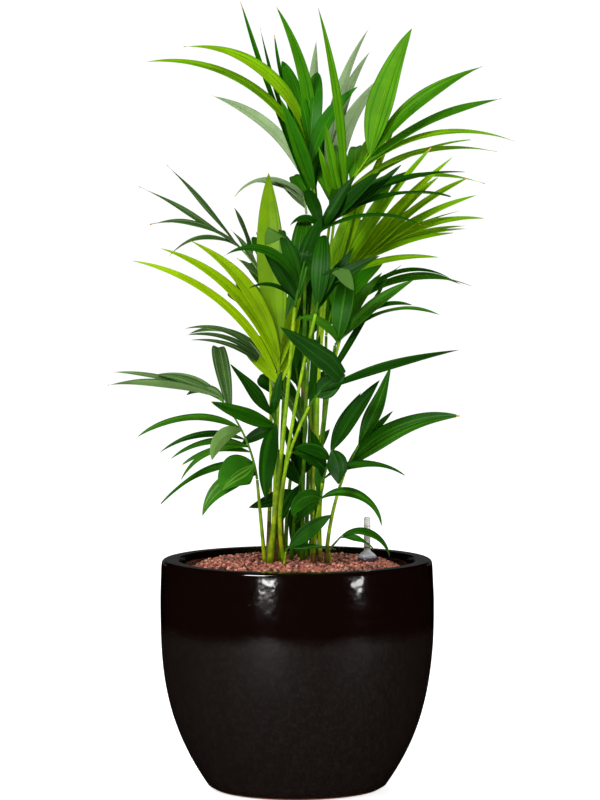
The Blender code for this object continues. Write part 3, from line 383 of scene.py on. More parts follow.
# ---------------------------------------------------------------------- meshes
def tube(points, radii, sides):
    """Closed tapering tube along points."""
    verts, faces = [], []
    n = len(points)
    for i, p in enumerate(points):
        d = points[min(i + 1, n - 1)] - points[max(i - 1, 0)]
        d = d / np.linalg.norm(d)
        if i == 0:
            d = np.array([0.0, 0.0, 1.0]) if radii[0] >= STALK_R_FOOT * 0.5 and p[2] < STEM_FOOT_Z + 1e-6 else d
        side = np.cross(d, (0.0, 1.0, 0.0))
        side = side / np.linalg.norm(side)
        up = np.cross(side, d)
        for k in range(sides):
            w = 2 * math.pi * k / sides
            verts.append(p + radii[i] * (math.cos(w) * side + math.sin(w) * up))
    for i in range(n - 1):
        for k in range(sides):
            a, b = i * sides + k, i * sides + (k + 1) % sides
            faces.append((a, a + sides, b + sides, b))
    faces.append(tuple(range(sides)))
    faces.append(tuple(reversed(range((n - 1) * sides, n * sides))))
    return verts, faces


def section(c, across, normal, half, thick):
    """Cross-section of a blade: a flat face and a shallow ridge under it."""
    return [c + across * half + normal * thick * 0.3, c - across * half + normal * thick * 0.3,
            c - normal * thick * 0.7]


def close_blade(verts, tip):
    """Faces of a blade through its sections, ending in a point."""
    faces = [(2, 1, 0)]
    n = len(verts) // 3
    for i in range(n - 1):
        for k in range(3):
            a, b = 3 * i + k, 3 * i + (k + 1) % 3
            faces.append((a, b, b + 3, a + 3))
    verts = verts + [tip]
    for k in range(3):
        faces.append((3 * (n - 1) + k, 3 * (n - 1) + (k + 1) % 3, len(verts) - 1))
    return verts, faces


def blade(leaf, stations, extra=0.0):
    """Closed thin blade through the stations, ending in a point."""
    verts = []
    for s in stations:
        across, normal = leaf.frame(s)
        root = np.cross(normal, across) * 0.0022 if s == 0 else 0.0    # through the rib
        verts += section(leaf.centre(s) - root, across, normal, leaf.width * leaf.outline(s) + extra,
                         BLADE_THICK * (1 - 0.4 * s) + 2 * extra)
    return close_blade(verts, leaf.centre(1.0))


def folded_tip(leaf, extra=0.0):
    """The part of a leaflet that is folded over, as a second blade that starts
    inside the first one near its end and lies in front of it."""
    verts = []
    end = leaf.uvy[-1] + np.array([0, 0, leaf.push])
    back = leaf.uvy[-3] + np.array([0, 0, leaf.push])
    heading = math.radians(leaf.row[8])
    along = np.array([math.cos(heading) * 0.94, -0.34, math.sin(heading) * 0.94])
    across = np.array([math.sin(heading), 0.0, -math.cos(heading)])
    normal = np.cross(across, along)
    for s, h in ((0.0, 0.30), (0.3, 0.46), (0.65, 0.30)):
        base = back + (end - back) * min(1.0, s * 4)
        verts += section(place(*(base + leaf.fold[-1] * s)), across, normal,
                         leaf.width * h + extra, BLADE_THICK + 2 * extra)
    return close_blade(verts, place(*(end + leaf.fold[-1])))


def outward(verts, faces):
    """Faces turned so that the closed shape's volume is positive."""
    v = [np.asarray(p, float) for p in verts]
    vol = 0.0
    for f in faces:
        for k in range(1, len(f) - 1):
            vol += np.dot(v[f[0]], np.cross(v[f[k]], v[f[k + 1]]))
    return (verts, faces) if vol > 0 else (verts, [tuple(reversed(f)) for f in faces])


def flat_faced(part):
    """The same shape in triangles. A bent quad is split along the diagonal that
    bulges outwards, so the two sides of a thin blade can't cross."""
    verts, faces = part
    out = []
    for f in faces:
        if len(f) == 4:
            p, q, r, s = (np.asarray(verts[i], float) for i in f)
            if np.dot(np.cross(q - p, r - p), s - p) <= 0:
                out += [(f[0], f[1], f[2]), (f[0], f[2], f[3])]
            else:
                out += [(f[0], f[1], f[3]), (f[1], f[2], f[3])]
        else:
            out += [(f[0], f[k], f[k + 1]) for k in range(1, len(f) - 1)]
    return verts, out


def stations_of(leaf):
    n = leaf.row[5]
    if n < 125:
        return (0.0, 0.45)
    if n < 225:
        return (0.0, 0.38, 0.72)
    return (0.0, 0.28, 0.54, 0.80)


def leaf_parts(leaf, extra=0.0):
    parts = [flat_faced(outward(*blade(leaf, stations_of(leaf), extra)))]
    if leaf.fold is not None:
        parts.append(flat_faced(outward(*folded_tip(leaf, extra))))
    return parts


def stalk_points(stalk, n):
    top = 1.0 - (0.0012 + GAP) / np.linalg.norm(stalk.stalk_point(1.0) - stalk.stalk_point(0.0))
    return [stalk.stalk_point(top * i / n) for i in range(n + 1)]


def stalk_part(stalk, extra=0.0, sides=5):
    n = 3 if abs(stalk.f["bow"]) > 8 else 2
    r = stalk.f["r"]
    radii = [(STALK_R_FOOT + (STALK_R_HUB - STALK_R_FOOT) * (i / n) ** 0.6) * r + extra for i in range(n + 1)]
    return outward(*tube(stalk_points(stalk, n), radii, sides))


def rib_part(stalk, extra=0.0, n=2, sides=4):
    r0 = STALK_R_HUB * stalk.f["r"]
    radii = [r0 + (RIB_R_TIP - r0) * i / n + extra for i in range(n + 1)]
    return flat_faced(outward(*tube([stalk.rib_point(i / n) for i in range(n + 1)], radii, sides)))


# -------------------------------------------------- moving the fronds apart
def tree_of(parts):
    verts, faces = [], []
    for v, f in parts:
        k = len(verts)
        verts += [tuple(p) for p in v]
        faces += [tuple(i + k for i in q) for q in f]
    return BVHTree.FromPolygons(verts, faces, all_triangles=False, epsilon=0.0)


def box_of(parts):
    p = np.array([q for v, f in parts for q in v])
    return p.min(0), p.max(0)


def move_apart(stalks, leaves, fixed, rounds=240, step=0.0018):
    """stalks: list of Stalk; leaves: list of (frond number, Leaflet); fixed:
    shapes that stay. Pushes run along the depth only."""
    items = [("s", i, s) for i, s in enumerate(stalks)] + [("l", i, l) for i, l in leaves]
    items += [("r", i, s) for i, s in enumerate(stalks) if s.f["sides"]]
    sign = {}

    def parts(kind, obj):
        if kind == "s":
            return [stalk_part(obj, CLEAR / 2)]
        if kind == "r":
            return [rib_part(obj, CLEAR / 2)]
        return leaf_parts(obj, CLEAR / 2)

    def line(kind, obj, n=36):
        at = {"l": "centre", "s": "stalk_point", "r": "rib_point"}[kind]
        return np.array([getattr(obj, at)(k / n) for k in range(n + 1)])

    def behind(p, q):
        """1 where line p passes behind line q, else -1."""
        d = p[:, None, :] - q[None, :, :]
        w = d[..., 0] ** 2 + d[..., 2] ** 2 + 0.15 * d[..., 1] ** 2
        i, j = np.unravel_index(np.argmin(w), w.shape)
        return 1.0 if d[i, j, 1] >= 0 else -1.0

    cache = {}
    for n in range(rounds):
        live = []
        for k, (kind, i, obj) in enumerate(items):
            if k not in cache:
                pp = parts(kind, obj)
                cache[k] = (tree_of(pp), *box_of(pp))
            live.append(cache[k])
        moved, hits, touching = {}, 0, []
        for x in range(len(items)):
            kx, ix, ox = items[x]
            tx, lx, hx = live[x]
            for y in range(x + 1, len(items)):
                ky, iy, oy = items[y]
                own = ix == iy and kx == "s" and ky == "l"
                if ix == iy and not own:
                    continue
                ty, ly, hy = live[y]
                if (lx > hy).any() or (ly > hx).any():
                    continue
                pairs = tx.overlap(ty)
                if not pairs:
                    continue
                if kx == "r" and ky == "r":
                    continue
                hits += 1
                touching.append((kx, stalks[ix].f["name"], ky, stalks[iy].f["name"]))
                if own:                       # a leaflet hangs in front of its own stalk
                    moved[y] = moved.get(y, 0.0) - (1.0 if oy.l0 < 8 else -1.0)
                    continue
                key = (x, y)
                if key not in sign or n % 50 == 49:
                    sign[key] = behind(line(kx, ox), line(ky, oy))
                if kx != "r":
                    moved[x] = moved.get(x, 0.0) + sign[key]
                if ky != "r":
                    moved[y] = moved.get(y, 0.0) - sign[key]
        for tree, lo, hi in fixed:
            for x in range(len(items)):
                tx, lx, hx = live[x]
                if items[x][0] == "l" and not ((lx > hi).any() or (lo > hx).any()) and tx.overlap(tree):
                    moved[x] = moved.get(x, 0.0) - 1.0
                    touching.append(items[x][0] + " " + stalks[items[x][1]].f["name"] + " gauge")
                    hits += 1
        if not hits:
            return n, 0
        for x, m in moved.items():
            if m:
                kind, i, obj = items[x]
                obj.push += step * (0.6 if kind == "s" else 1.0) * max(-1.5, min(1.5, m))
                cache.pop(x, None)
    print(touching)
    return rounds, hits


# ===================================================================== the looks
SPARE = random.Random(7)


def mat(name, colour, rough, coat=0.0, spec=0.5, noise=None, bump=None, sub=0.0):
    """Principled material. noise: (second colour, scale, low, high) mixed in by a
    soft noise through a ramp from low to high; bump: (scale, strength, stretch) for a fine relief."""
    m = bpy.data.materials.new(name)
    m.use_nodes = True
    nt = m.node_tree
    b = nt.nodes["Principled BSDF"]
    b.inputs["Base Color"].default_value = (*colour, 1)
    b.inputs["Roughness"].default_value = rough
    b.inputs["Coat Weight"].default_value = coat
    b.inputs["Coat Roughness"].default_value = 0.2
    b.inputs["Specular IOR Level"].default_value = spec
    if noise or bump:
        tc = nt.nodes.new("ShaderNodeTexCoord")
    if noise:
        second, scale, low, high = noise
        n = nt.nodes.new("ShaderNodeTexNoise")
        n.inputs["Scale"].default_value = scale
        n.inputs["Detail"].default_value = 3
        nt.links.new(tc.outputs["Object"], n.inputs["Vector"])
        r = nt.nodes.new("ShaderNodeValToRGB")
        r.color_ramp.elements[0].position, r.color_ramp.elements[0].color = low, (*colour, 1)
        r.color_ramp.elements[1].position, r.color_ramp.elements[1].color = high, (*second, 1)
        nt.links.new(n.outputs["Fac"], r.inputs["Fac"])
        nt.links.new(r.outputs["Color"], b.inputs["Base Color"])
    if bump:
        scale, strength, stretch = bump
        mp = nt.nodes.new("ShaderNodeMapping")
        mp.inputs["Scale"].default_value = stretch
        n2 = nt.nodes.new("ShaderNodeTexNoise")
        n2.inputs["Scale"].default_value = scale
        bp = nt.nodes.new("ShaderNodeBump")
        bp.inputs["Strength"].default_value = strength
        bp.inputs["Distance"].default_value = 0.0006
        nt.links.new(tc.outputs["Object"], mp.inputs["Vector"])
        nt.links.new(mp.outputs["Vector"], n2.inputs["Vector"])
        nt.links.new(n2.outputs["Fac"], bp.inputs["Height"])
        nt.links.new(bp.outputs["Normal"], b.inputs["Normal"])
    return m


def srgb(r, g, b):
    f = lambda c: ((c / 255 + 0.055) / 1.055) ** 2.4 if c > 10 else c / 255 / 12.92
    return f(r), f(g), f(b)


# upper side, lighter second tone, underside, midrib: one set for each tint
TINTS = {
    "fresh": (srgb(32, 98, 0), srgb(54, 114, 0), srgb(116, 148, 80), srgb(88, 130, 8)),
    "bright": (srgb(48, 108, 0), srgb(70, 124, 0), srgb(120, 150, 58), srgb(100, 142, 6)),
    # olive: yellow green, partly painted light: raised so that the right frond, which lies in shade, shows lit
    "olive": (srgb(92, 144, 0), srgb(118, 162, 0), srgb(134, 166, 34), srgb(128, 164, 12)),
    "lime": (srgb(118, 156, 0), srgb(132, 166, 0), srgb(140, 168, 36), srgb(86, 128, 0)),
    "lime_broad": (srgb(80, 120, 0), srgb(92, 128, 0), srgb(124, 152, 30), srgb(62, 104, 0)),
    "mid": (srgb(24, 76, 0), srgb(48, 100, 8), srgb(94, 128, 62), srgb(72, 120, 20)),
    "lively": (srgb(40, 98, 8), srgb(78, 124, 34), srgb(110, 142, 70), srgb(104, 148, 44)),
    # deep: dark green, partly painted shade: darkened further for the fronds that lie inside and under the crown
    "deep": (srgb(12, 54, 0), srgb(24, 74, 0), srgb(60, 96, 28), srgb(44, 92, 4)),
    # grey: grey green, partly a painted sheen of the leaflets on the left
    "grey": (srgb(52, 82, 34), srgb(82, 110, 60), srgb(126, 148, 108), srgb(98, 128, 68)),
    # pale: whitish green, partly painted light: lightened so that blades facing away from the lamps still show bright
    "pale": (srgb(108, 138, 86), srgb(128, 154, 106), srgb(126, 150, 106), srgb(112, 140, 82)),
}
TINT_OF = dict(
    top_left="fresh", top_right="bright", pale_back="pale", right="olive", dark_bundle="deep",
    yellow="lime", left_thin="grey", pale_left="pale", front_centre="deep", centre_right="deep",
    right_thin="mid", right_mid="mid", front_big="deep", right_low="mid", right_lower_dark="deep",
    low_small="mid", low_right_tiny="mid", foot_front="deep", low_left="mid", left_dark="deep",
    left_grey="grey", centre_low="deep", back_left="mid", back_middle="deep", back_right="fresh",
    back_low="deep",
)


def tint_of(name, leaf):
    """The tint of one leaflet: that of its frond, but for a few that show
    another in the photo."""
    t, over = leaf.row[0], leaf.row[4] - leaf.row[3]
    if name == "yellow":
        return "lime_broad" if leaf.width > 0.040 else "lime"
    if name == "low_left":
        return "grey" if t > 0.75 else ("lively" if leaf.width > 0.030 else "mid")
    if name in ("front_centre", "right_mid") and over > 60:
        return "mid"
    if name == "top_left" and leaf.turn > 120:
        return "pale"
    if name == "top_left" and leaf.turn < 31 and over > 60:
        return "fresh"
    if name == "top_left" and leaf.a1 > 150:
        return "olive"
    if name == "top_right" and leaf.turn > 55:
        return "olive"
    return TINT_OF[name]


# Leaflets that fill the crown between the drawn ones: same sizes, same rule.
FILL = dict(
    top_left=[S(3, t=(0.10, 0.60), fan=(104, 74), bend=(8, -10), lean=(34, 44), length=(200, 180), width=26, turn=40),
              S(4, t=(0.10, 0.90), fan=(120, 76), bend=(10, -10), lean=(46, 58), length=(215, 190), width=24, turn=15, over=48)],
    top_right=[S(2, t=(0.20, 0.50), fan=(44, 58), bend=(-40, -24), lean=(18, 24), length=(240, 200), width=(14, 22)),
               S(5, t=(0.10, 0.90), fan=(114, 50), bend=(14, -14), lean=(44, 60), length=(235, 200), width=24, turn=15, over=48)],
    yellow=[S(4, t=(0.10, 0.85), fan=(128, 80), bend=(14, -10), lean=(44, 58), length=(225, 200), width=22, turn=15, over=48)],
    pale_back=[S(3, t=(0.10, 0.85), fan=(104, 72), bend=(10, -10), lean=(38, 50), length=(200, 180), width=24, turn=20, over=50)],
    right=[S(4, t=(0.15, 0.90), fan=(102, 44), bend=(10, -14), lean=(44, 60), length=(235, 200), width=24, turn=15, over=48),
           S(3, t=(0.10, 0.60), fan=(78, 56), bend=(-8, -20), lean=(22, 14), length=(190, 200), width=(28, 22), turn=40),
           S(4, t=(0.10, 0.90), fan=(50, 30), bend=(-40, -28), lean=(14, 2), length=(250, 150), width=13)],
    dark_bundle=[S(2, t=(0.00, 0.50), fan=(60, 40), bend=(-8, -10), lean=(16, 10), length=(110, 150), width=24, turn=40),
                 S(3, t=(0.10, 0.90), fan=(104, 60), bend=(10, -10), lean=(44, 56), length=(180, 160), width=22, turn=15, over=48)],
    front_centre=[S(2, t=(0.10, 0.60), fan=(98, 74), bend=(6, -10), lean=(34, 36), length=(115, 120), width=28, turn=25)],
    centre_right=[S(2, t=(0.10, 0.80), fan=(60, 44), bend=(-8, -20), lean=(14, 4), length=(120, 110), width=24, turn=35)],
    right_mid=[S(2, t=(0.00, 0.60), fan=(66, 50), bend=(-20, -26), lean=(14, 10), length=(130, 150), width=24, turn=40)],
    left_dark=[S(2, t=(0.20, 0.90), fan=(196, 78), bend=(26, 0), lean=(12, 26), length=(64, 80), width=(24, 20), turn=40)],
    centre_low=[S(4, t=(0.00, 0.80), fan=(262, 64), bend=(8, -10), lean=(16, 20), length=(84, 92), width=26, turn=30)],
    right_lower_dark=[S(2, t=(0.10, 0.90), fan=(98, 70), bend=(12, -14), lean=(26, 20), length=(90, 110), width=24, turn=40)],
    low_small=[S(2, t=(0.20, 0.90), fan=(210, 96), bend=(20, -10), lean=20, length=(60, 80), width=22, turn=40)],
    back_left=[S(3, t=(0.15, 0.85), fan=(134, 96), bend=(30, 12), lean=(22, 34), length=(200, 180), width=28, turn=30, over=62)],
    back_middle=[S(3, t=(0.10, 0.90), fan=(106, 74), bend=(12, -10), lean=(26, 34), length=(200, 180), width=30, turn=25, over=66)],
    back_right=[S(3, t=(0.15, 0.90), fan=(60, 82), bend=(-20, -8), lean=(20, 32), length=(195, 180), width=28, turn=30, over=62)],
    back_low=[S(3, t=(0.10, 0.90), fan=(124, 66), bend=(30, -20), lean=(36, 40), length=(175, 165), width=28, turn=25, over=55)],
)


def build_mesh(name, verts, faces, mats, which, smooth=True):
    me = bpy.data.meshes.new(name)
    me.from_pydata([tuple(map(float, v)) for v in verts], [], faces)
    for m in mats:
        me.materials.append(m)
    me.polygons.foreach_set("material_index", which)
    me.update()
    if smooth:
        me.shade_smooth()
    ob = bpy.data.objects.new(name, me)
    bpy.context.scene.collection.objects.link(ob)
    return ob


ACROSS = 16          # strips across a leaflet, folded into ribs
ALONG = 30


def fine_outline(s):
    """Half width of a leaflet at s: a narrow foot, widest at two fifths and a
    long drawn-out point."""
    if s < 0.40:
        return 0.5 * (0.12 + 0.88 * math.sin(s / 0.40 * math.pi / 2) ** 0.85)
    x = (s - 0.40) / 0.60
    return 0.5 * max(0.0, 1 - x ** 1.75) ** 0.92


def leaf_surface(leaf, rng, verts, faces, which):
    """Adds the leaflet as a closed skin: a ribbed upper side, a paler underside,
    a midrib strip and a dry point. Slots: 0 upper, 1 light upper, 2 underside,
    3 midrib, 4 dry."""
    start = len(verts)
    cup = rng.uniform(0.10, 0.20)
    wave, phase = rng.uniform(0.0, 0.0016), rng.uniform(0, 6.28)
    tone = 1 if rng.random() < 0.28 else 0
    veins = [(1 - tone) if rng.random() < 0.22 else tone for _ in range(ACROSS)]
    dry = rng.random() < 0.24
    half_n = ACROSS // 2
    rows = []
    for i in range(ALONG + 1):
        s = i / ALONG
        s = s ** 0.9
        c = leaf.centre(min(s, 1.0))
        across, normal = leaf.frame(s)
        half = leaf.width * fine_outline(s)
        top, under = [], []
        for j in range(-half_n, half_n + 1):
            x = j / half_n
            lift = cup * half * abs(x) + wave * math.sin(9 * s + phase + (2 if x > 0 else 0)) * abs(x)
            rib = 0.00030 * (1 if j % 2 else -1) * min(1.0, half / 0.008)
            if j == 0:
                rib = -0.0007 * min(1.0, half / 0.006)
            p = c + across * half * x + normal * (lift + (rib if abs(j) < half_n else 0.0))
            top.append(len(verts))
            verts.append(p)
            if abs(j) == half_n:
                under.append(top[-1])
            else:
                under.append(None)
                verts.append(p - normal * (0.0007 if j else 0.0012) * min(1.0, half / 0.004))
                under[-1] = len(verts) - 1
        rows.append((top, under))
    n = ACROSS + 1
    for i in range(ALONG):
        s = i / ALONG
        for j in range(n - 1):
            a, b = rows[i][0][j], rows[i][0][j + 1]
            c2, d = rows[i + 1][0][j + 1], rows[i + 1][0][j]
            faces.append((a, b, c2, d))
            which.append(4 if dry and s > 0.955 else veins[j])
            a, b = rows[i][1][j], rows[i][1][j + 1]
            c2, d = rows[i + 1][1][j + 1], rows[i + 1][1][j]
            faces.append((d, c2, b, a))
            which.append(4 if dry and s > 0.955 else 2)
    # midrib: a low ridge on the underside and a fine line on the upper side
    for side, w, up in ((1, 0.0007, 0.00005), (-1, 0.0011, 0.0014)):
        ring = []
        for i in range(0, ALONG + 1, 2):
            s = (i / ALONG) ** 0.9
            if s > 0.93:
                break
            c = leaf.centre(s)
            across, normal = leaf.frame(s)
            k = (1 - 0.75 * s)
            base = -0.0007 if side > 0 else -0.0016
            mid = c + normal * (base * min(1.0, leaf.width * fine_outline(s) / 0.006))
            ring.append(len(verts))
            verts += [mid - across * w * k, mid + normal * side * (0.0005 if side > 0 else 0.0010) * k, mid + across * w * k]
        for a, b in zip(ring, ring[1:]):
            for q in (0, 1):
                f = (a + q, a + q + 1, b + q + 1, b + q)
                faces.append(f if side > 0 else tuple(reversed(f)))
                which.append(3)


def folded_surface(leaf, rng, verts, faces, which, pale=False):
    """The folded-over part of a leaflet, upper side out, or the pale underside."""
    end = leaf.uvy[-1] + np.array([0, 0, leaf.push])
    back = leaf.uvy[-4] + np.array([0, 0, leaf.push])
    heading = math.radians(leaf.row[8])
    along = np.array([math.cos(heading) * 0.94, -0.34, math.sin(heading) * 0.94])
    across = np.array([math.sin(heading), 0.0, -math.cos(heading)])
    normal = np.cross(across, along)
    if normal[1] > 0:
        normal = -normal
    rows, n = [], 26
    for i in range(n + 1):
        s = i / n
        base = back + (end - back) * min(1.0, s * 4)
        c = place(*(base + leaf.fold[-1] * s))
        half = leaf.width * (0.30 + 0.18 * math.sin(min(1.0, s / 0.35) * math.pi / 2)) * max(0.0, 1 - s ** 2.6)
        top, under = [], []
        for j in range(-8, 9):
            x = j / 8
            rib = 0.00022 * (1 if j % 2 else -1) if abs(j) < 8 else 0.0
            p = c + across * half * x + normal * (rib + 0.10 * half * (1 - abs(x)))
            top.append(len(verts))
            verts.append(p)
            if abs(j) == 8:
                under.append(top[-1])
            else:
                verts.append(p - normal * 0.0008 * min(1.0, half / 0.004))
                under.append(len(verts) - 1)
        rows.append((top, under))
    flip = np.dot(np.cross(across, along), normal) > 0
    for (a, ua), (b, ub) in zip(rows, rows[1:]):
        for j in range(16):
            up, down = (a[j], a[j + 1], b[j + 1], b[j]), (ub[j], ub[j + 1], ua[j + 1], ua[j])
            faces += [up, down] if flip else [tuple(reversed(up)), tuple(reversed(down))]
            which += [2, 2] if pale else [0 if j % 6 else 1, 2]


def round_tube(points, radii, sides, verts, faces, which, slot_of, ridge=0.0):
    start = len(verts)
    n = len(points)
    for i, p in enumerate(points):
        d = points[min(i + 1, n - 1)] - points[max(i - 1, 0)]
        d = d / np.linalg.norm(d)
        side = np.cross(d, (0.0, 1.0, 0.0))
        side = side / np.linalg.norm(side)
        up = np.cross(side, d)
        for k in range(sides):
            w = 2 * math.pi * k / sides
            r = radii[i] * (1 + ridge * math.cos(w * sides / 2))
            verts.append(p + r * (math.cos(w) * side + math.sin(w) * up))
    for i in range(n - 1):
        for k in range(sides):
            a, b = start + i * sides + k, start + i * sides + (k + 1) % sides
            faces.append((a, a + sides, b + sides, b))
            which.append(slot_of(i / (n - 1)))
    faces.append(tuple(start + k for k in range(sides)))
    which.append(slot_of(0))
    faces.append(tuple(start + (n - 1) * sides + k for k in reversed(range(sides))))
    which.append(slot_of(1))


def fill_leaves(fronds, stalks, leaves):
    """The filling leaflets, each slid back or forward in depth to where it
    touches least of what stands already."""
    standing = [leaf_parts(l, CLEAR / 2) for _, l in leaves]
    standing += [[stalk_part(s, CLEAR / 2)] for s in stalks]
    trees = [(tree_of(p), *box_of(p)) for p in standing]
    out = []
    for number, f in enumerate(fronds):
        if f["name"] not in FILL:
            continue
        grown = grow(dict(f, sides=FILL[f["name"]]), 100 + number)
        for row in grown:
            leaf = Leaflet(stalks[number], row)
            start, best = leaf.push, None
            for step in (0, 6, -6, 12, -12, 20, -20, 30, -30, 42):
                leaf.push = start + step / 1000
                shape = leaf_parts(leaf, CLEAR / 2)
                tree, lo, hi = tree_of(shape), *box_of(shape)
                if hi[1] > CAD_BOX[1][1] + 0.004 or lo[1] < CAD_BOX[0][1] or lo[0] < CAD_BOX[0][0] or hi[0] > CAD_BOX[1][0] or hi[2] > CAD_BOX[1][2]:
                    continue
                hits = sum(len(tree.overlap(t)) for t, l, h in trees if not ((l > hi).any() or (lo > h).any()))
                if best is None or hits < best[0]:
                    best = (hits, leaf.push, (tree, lo, hi))
                if hits == 0:
                    break
            if best is None:
                continue
            leaf.push = best[1]
            trees.append(best[2])
            out.append((number, leaf))
    print("filling leaflets", len(out))
    return out


def fronds_and_stalks():
    fronds = FRONDS + [SPEAR]
    stalks = [Stalk(f) for f in fronds]
    leaves = [(i, Leaflet(stalks[i], row)) for i, f in enumerate(fronds) for row in grow(f, i)]
    at = (GAUGE_X, GAUGE_Y)
    fixed = [(tree_of([s]), *box_of([s])) for s in (gauge_shape(0, at), gauge_shape(1, at))]
    move_apart(stalks, leaves, fixed)
    more = fill_leaves(fronds, stalks, leaves)

    dry = mat("dry_point", srgb(188, 140, 60), 0.7, noise=(srgb(150, 96, 44), 220, 0.4, 0.65))
    sets = {}
    for tint, (top, light, under, rib) in TINTS.items():
        sets[tint] = [
            mat("leaf_%s_upper" % tint, top, 0.46, spec=0.10, noise=(tuple(c * 0.78 for c in top), 26, 0.42, 0.62), bump=(900, 0.25, (1, 1, 1))),
            mat("leaf_%s_light" % tint, light, 0.46, spec=0.10, noise=(tuple(c * 0.80 for c in light), 22, 0.42, 0.62), bump=(900, 0.25, (1, 1, 1))),
            mat("leaf_%s_under" % tint, under, 0.6, spec=0.10, noise=(tuple(c * 0.82 for c in under), 24, 0.4, 0.65)),
            mat("leaf_%s_midrib" % tint, rib, 0.5, spec=0.12),
            dry,
        ]
    stalk_mats = [
        mat("stalk_green", srgb(98, 138, 0), 0.42, spec=0.22, noise=(srgb(132, 162, 4), 60, 0.4, 0.65), bump=(260, 0.5, (6, 6, 0.4))),
        mat("stalk_base", srgb(138, 158, 2), 0.44, spec=0.22, noise=(srgb(100, 128, 0), 70, 0.4, 0.6), bump=(260, 0.6, (6, 6, 0.4))),
        mat("stalk_brown", srgb(120, 88, 26), 0.6, noise=(srgb(74, 70, 14), 90, 0.35, 0.65), bump=(260, 0.8, (6, 6, 0.4))),
        mat("stalk_painted_shade", srgb(46, 88, 0), 0.42, spec=0.18, noise=(srgb(78, 116, 4), 60, 0.4, 0.65), bump=(260, 0.5, (6, 6, 0.4))),
    ]
    # the stalks of these fronds, mostly the ones further back, take the darker green as painted shade among the crowded
    # stalks
    painted_shade_stalks = ("pale_back", "left_grey", "pale_left", "centre_low", "back_left", "back_middle", "back_right",
                   "back_low", "left_dark", "dark_bundle", "right_mid", "top_left")
    for i, f in enumerate(fronds):
        stalk, rng = stalks[i], random.Random(900 + i)
        verts, faces, which = [], [], []
        top = 1.0 - (0.0012 + GAP) / np.linalg.norm(stalk.stalk_point(1.0) - stalk.stalk_point(0.0))
        n = max(6, int(f["hub"][1] / 14) - 20)
        kind = 3 if f["name"] in painted_shade_stalks else 0
        pts = [stalk.stalk_point(top * k / n) for k in range(n + 1)]
        radii = [(STALK_R_FOOT + (STALK_R_HUB - STALK_R_FOOT) * (k / n) ** 0.6) * f["r"] for k in range(n + 1)]
        brown = rng.random() < 0.30 or f["name"] == "spear"
        round_tube(pts, radii, 12, verts, faces, which,
                   lambda s: 2 if (brown and s < 0.14 or f["name"] == "spear") else (1 if s < 0.30 and kind == 0 else kind), ridge=0.05)
        ob = build_mesh("stem_" + f["name"], verts, faces, stalk_mats, which)
        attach(ob, "root")
        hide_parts("stalk_" + f["name"])
        if not f["sides"]:
            continue
        verts, faces, which = [], [], []
        rib = [stalk.rib_point(k / 14) for k in range(15)]
        r0 = STALK_R_HUB * f["r"]
        round_tube(rib, [r0 + (RIB_R_TIP - r0) * k / 14 for k in range(15)], 10, verts, faces, which, lambda s: 3)
        used = [TINT_OF[f["name"]]]
        for k, leaf in leaves + more:
            if k != i:
                continue
            own, at = tint_of(f["name"], leaf), len(which)
            if own not in used:
                used.append(own)
            leaf_surface(leaf, rng, verts, faces, which)
            if leaf.fold is not None:
                folded_surface(leaf, rng, verts, faces, which, pale=f["name"] != "front_big")
            which[at:] = [w + 5 * used.index(own) for w in which[at:]]
        ob = build_mesh("leaves_" + f["name"], verts, faces, [m for tint in used for m in sets[tint]], which)
        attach(ob, "root")
        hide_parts("frond_" + f["name"])


# ------------------------------------------------------------------------- pot
def turned(profile, segments, centre=(0.0, 0.0), wobble=None):
    verts, faces, rings = [], [], []
    for r, z in profile:
        if r < 1e-9:
            rings.append([len(verts)])
            verts.append(np.array((centre[0], centre[1], z)))
        else:
            rings.append(list(range(len(verts), len(verts) + segments)))
            for k in range(segments):
                w = 2 * math.pi * k / segments
                q = r + (wobble(w, z) if wobble else 0.0)
                verts.append(np.array((centre[0] + q * math.cos(w), centre[1] + q * math.sin(w), z)))
    for a, b in zip(rings, rings[1:]):
        for k in range(segments):
            j = (k + 1) % segments
            if len(a) == 1:
                faces.append((a[0], b[k], b[j]))
            elif len(b) == 1:
                faces.append((a[k], b[0], a[j]))
            else:
                faces.append((a[k], b[k], b[j], a[j]))
    return outward(verts, faces)


def pot_outer(z):
    if z >= POT_BELLY:
        return POT_R_MAX - 0.002 * ease((z - POT_BELLY) / (POT_HEIGHT - POT_BELLY))
    return POT_R_MAX - (POT_R_MAX - POT_R_FOOT) * (1 - z / POT_BELLY) ** POT_CURVE


def pot_inner(z):
    return min(pot_outer(z) - POT_WALL, POT_RIM_IN - 0.007 * ease((POT_HEIGHT - 0.004 - z) / 0.036))


def gauge_shape(which, at):
    if which:
        prof = [(0.0, STEM_FOOT_Z), (GAUGE_CAP_R, STEM_FOOT_Z), (GAUGE_CAP_R, GAUGE_CAP_Z),
                (GAUGE_TUBE_R, GAUGE_NECK_Z), (0.0, GAUGE_NECK_Z)]
        return turned(prof, 14, at)
    prof = [(0.0, GAUGE_NECK_Z + GAP), (GAUGE_TUBE_R, GAUGE_NECK_Z + GAP), (GAUGE_TUBE_R, GAUGE_TOP_Z), (0.0, GAUGE_TOP_Z)]
    return turned(prof, 10, at)


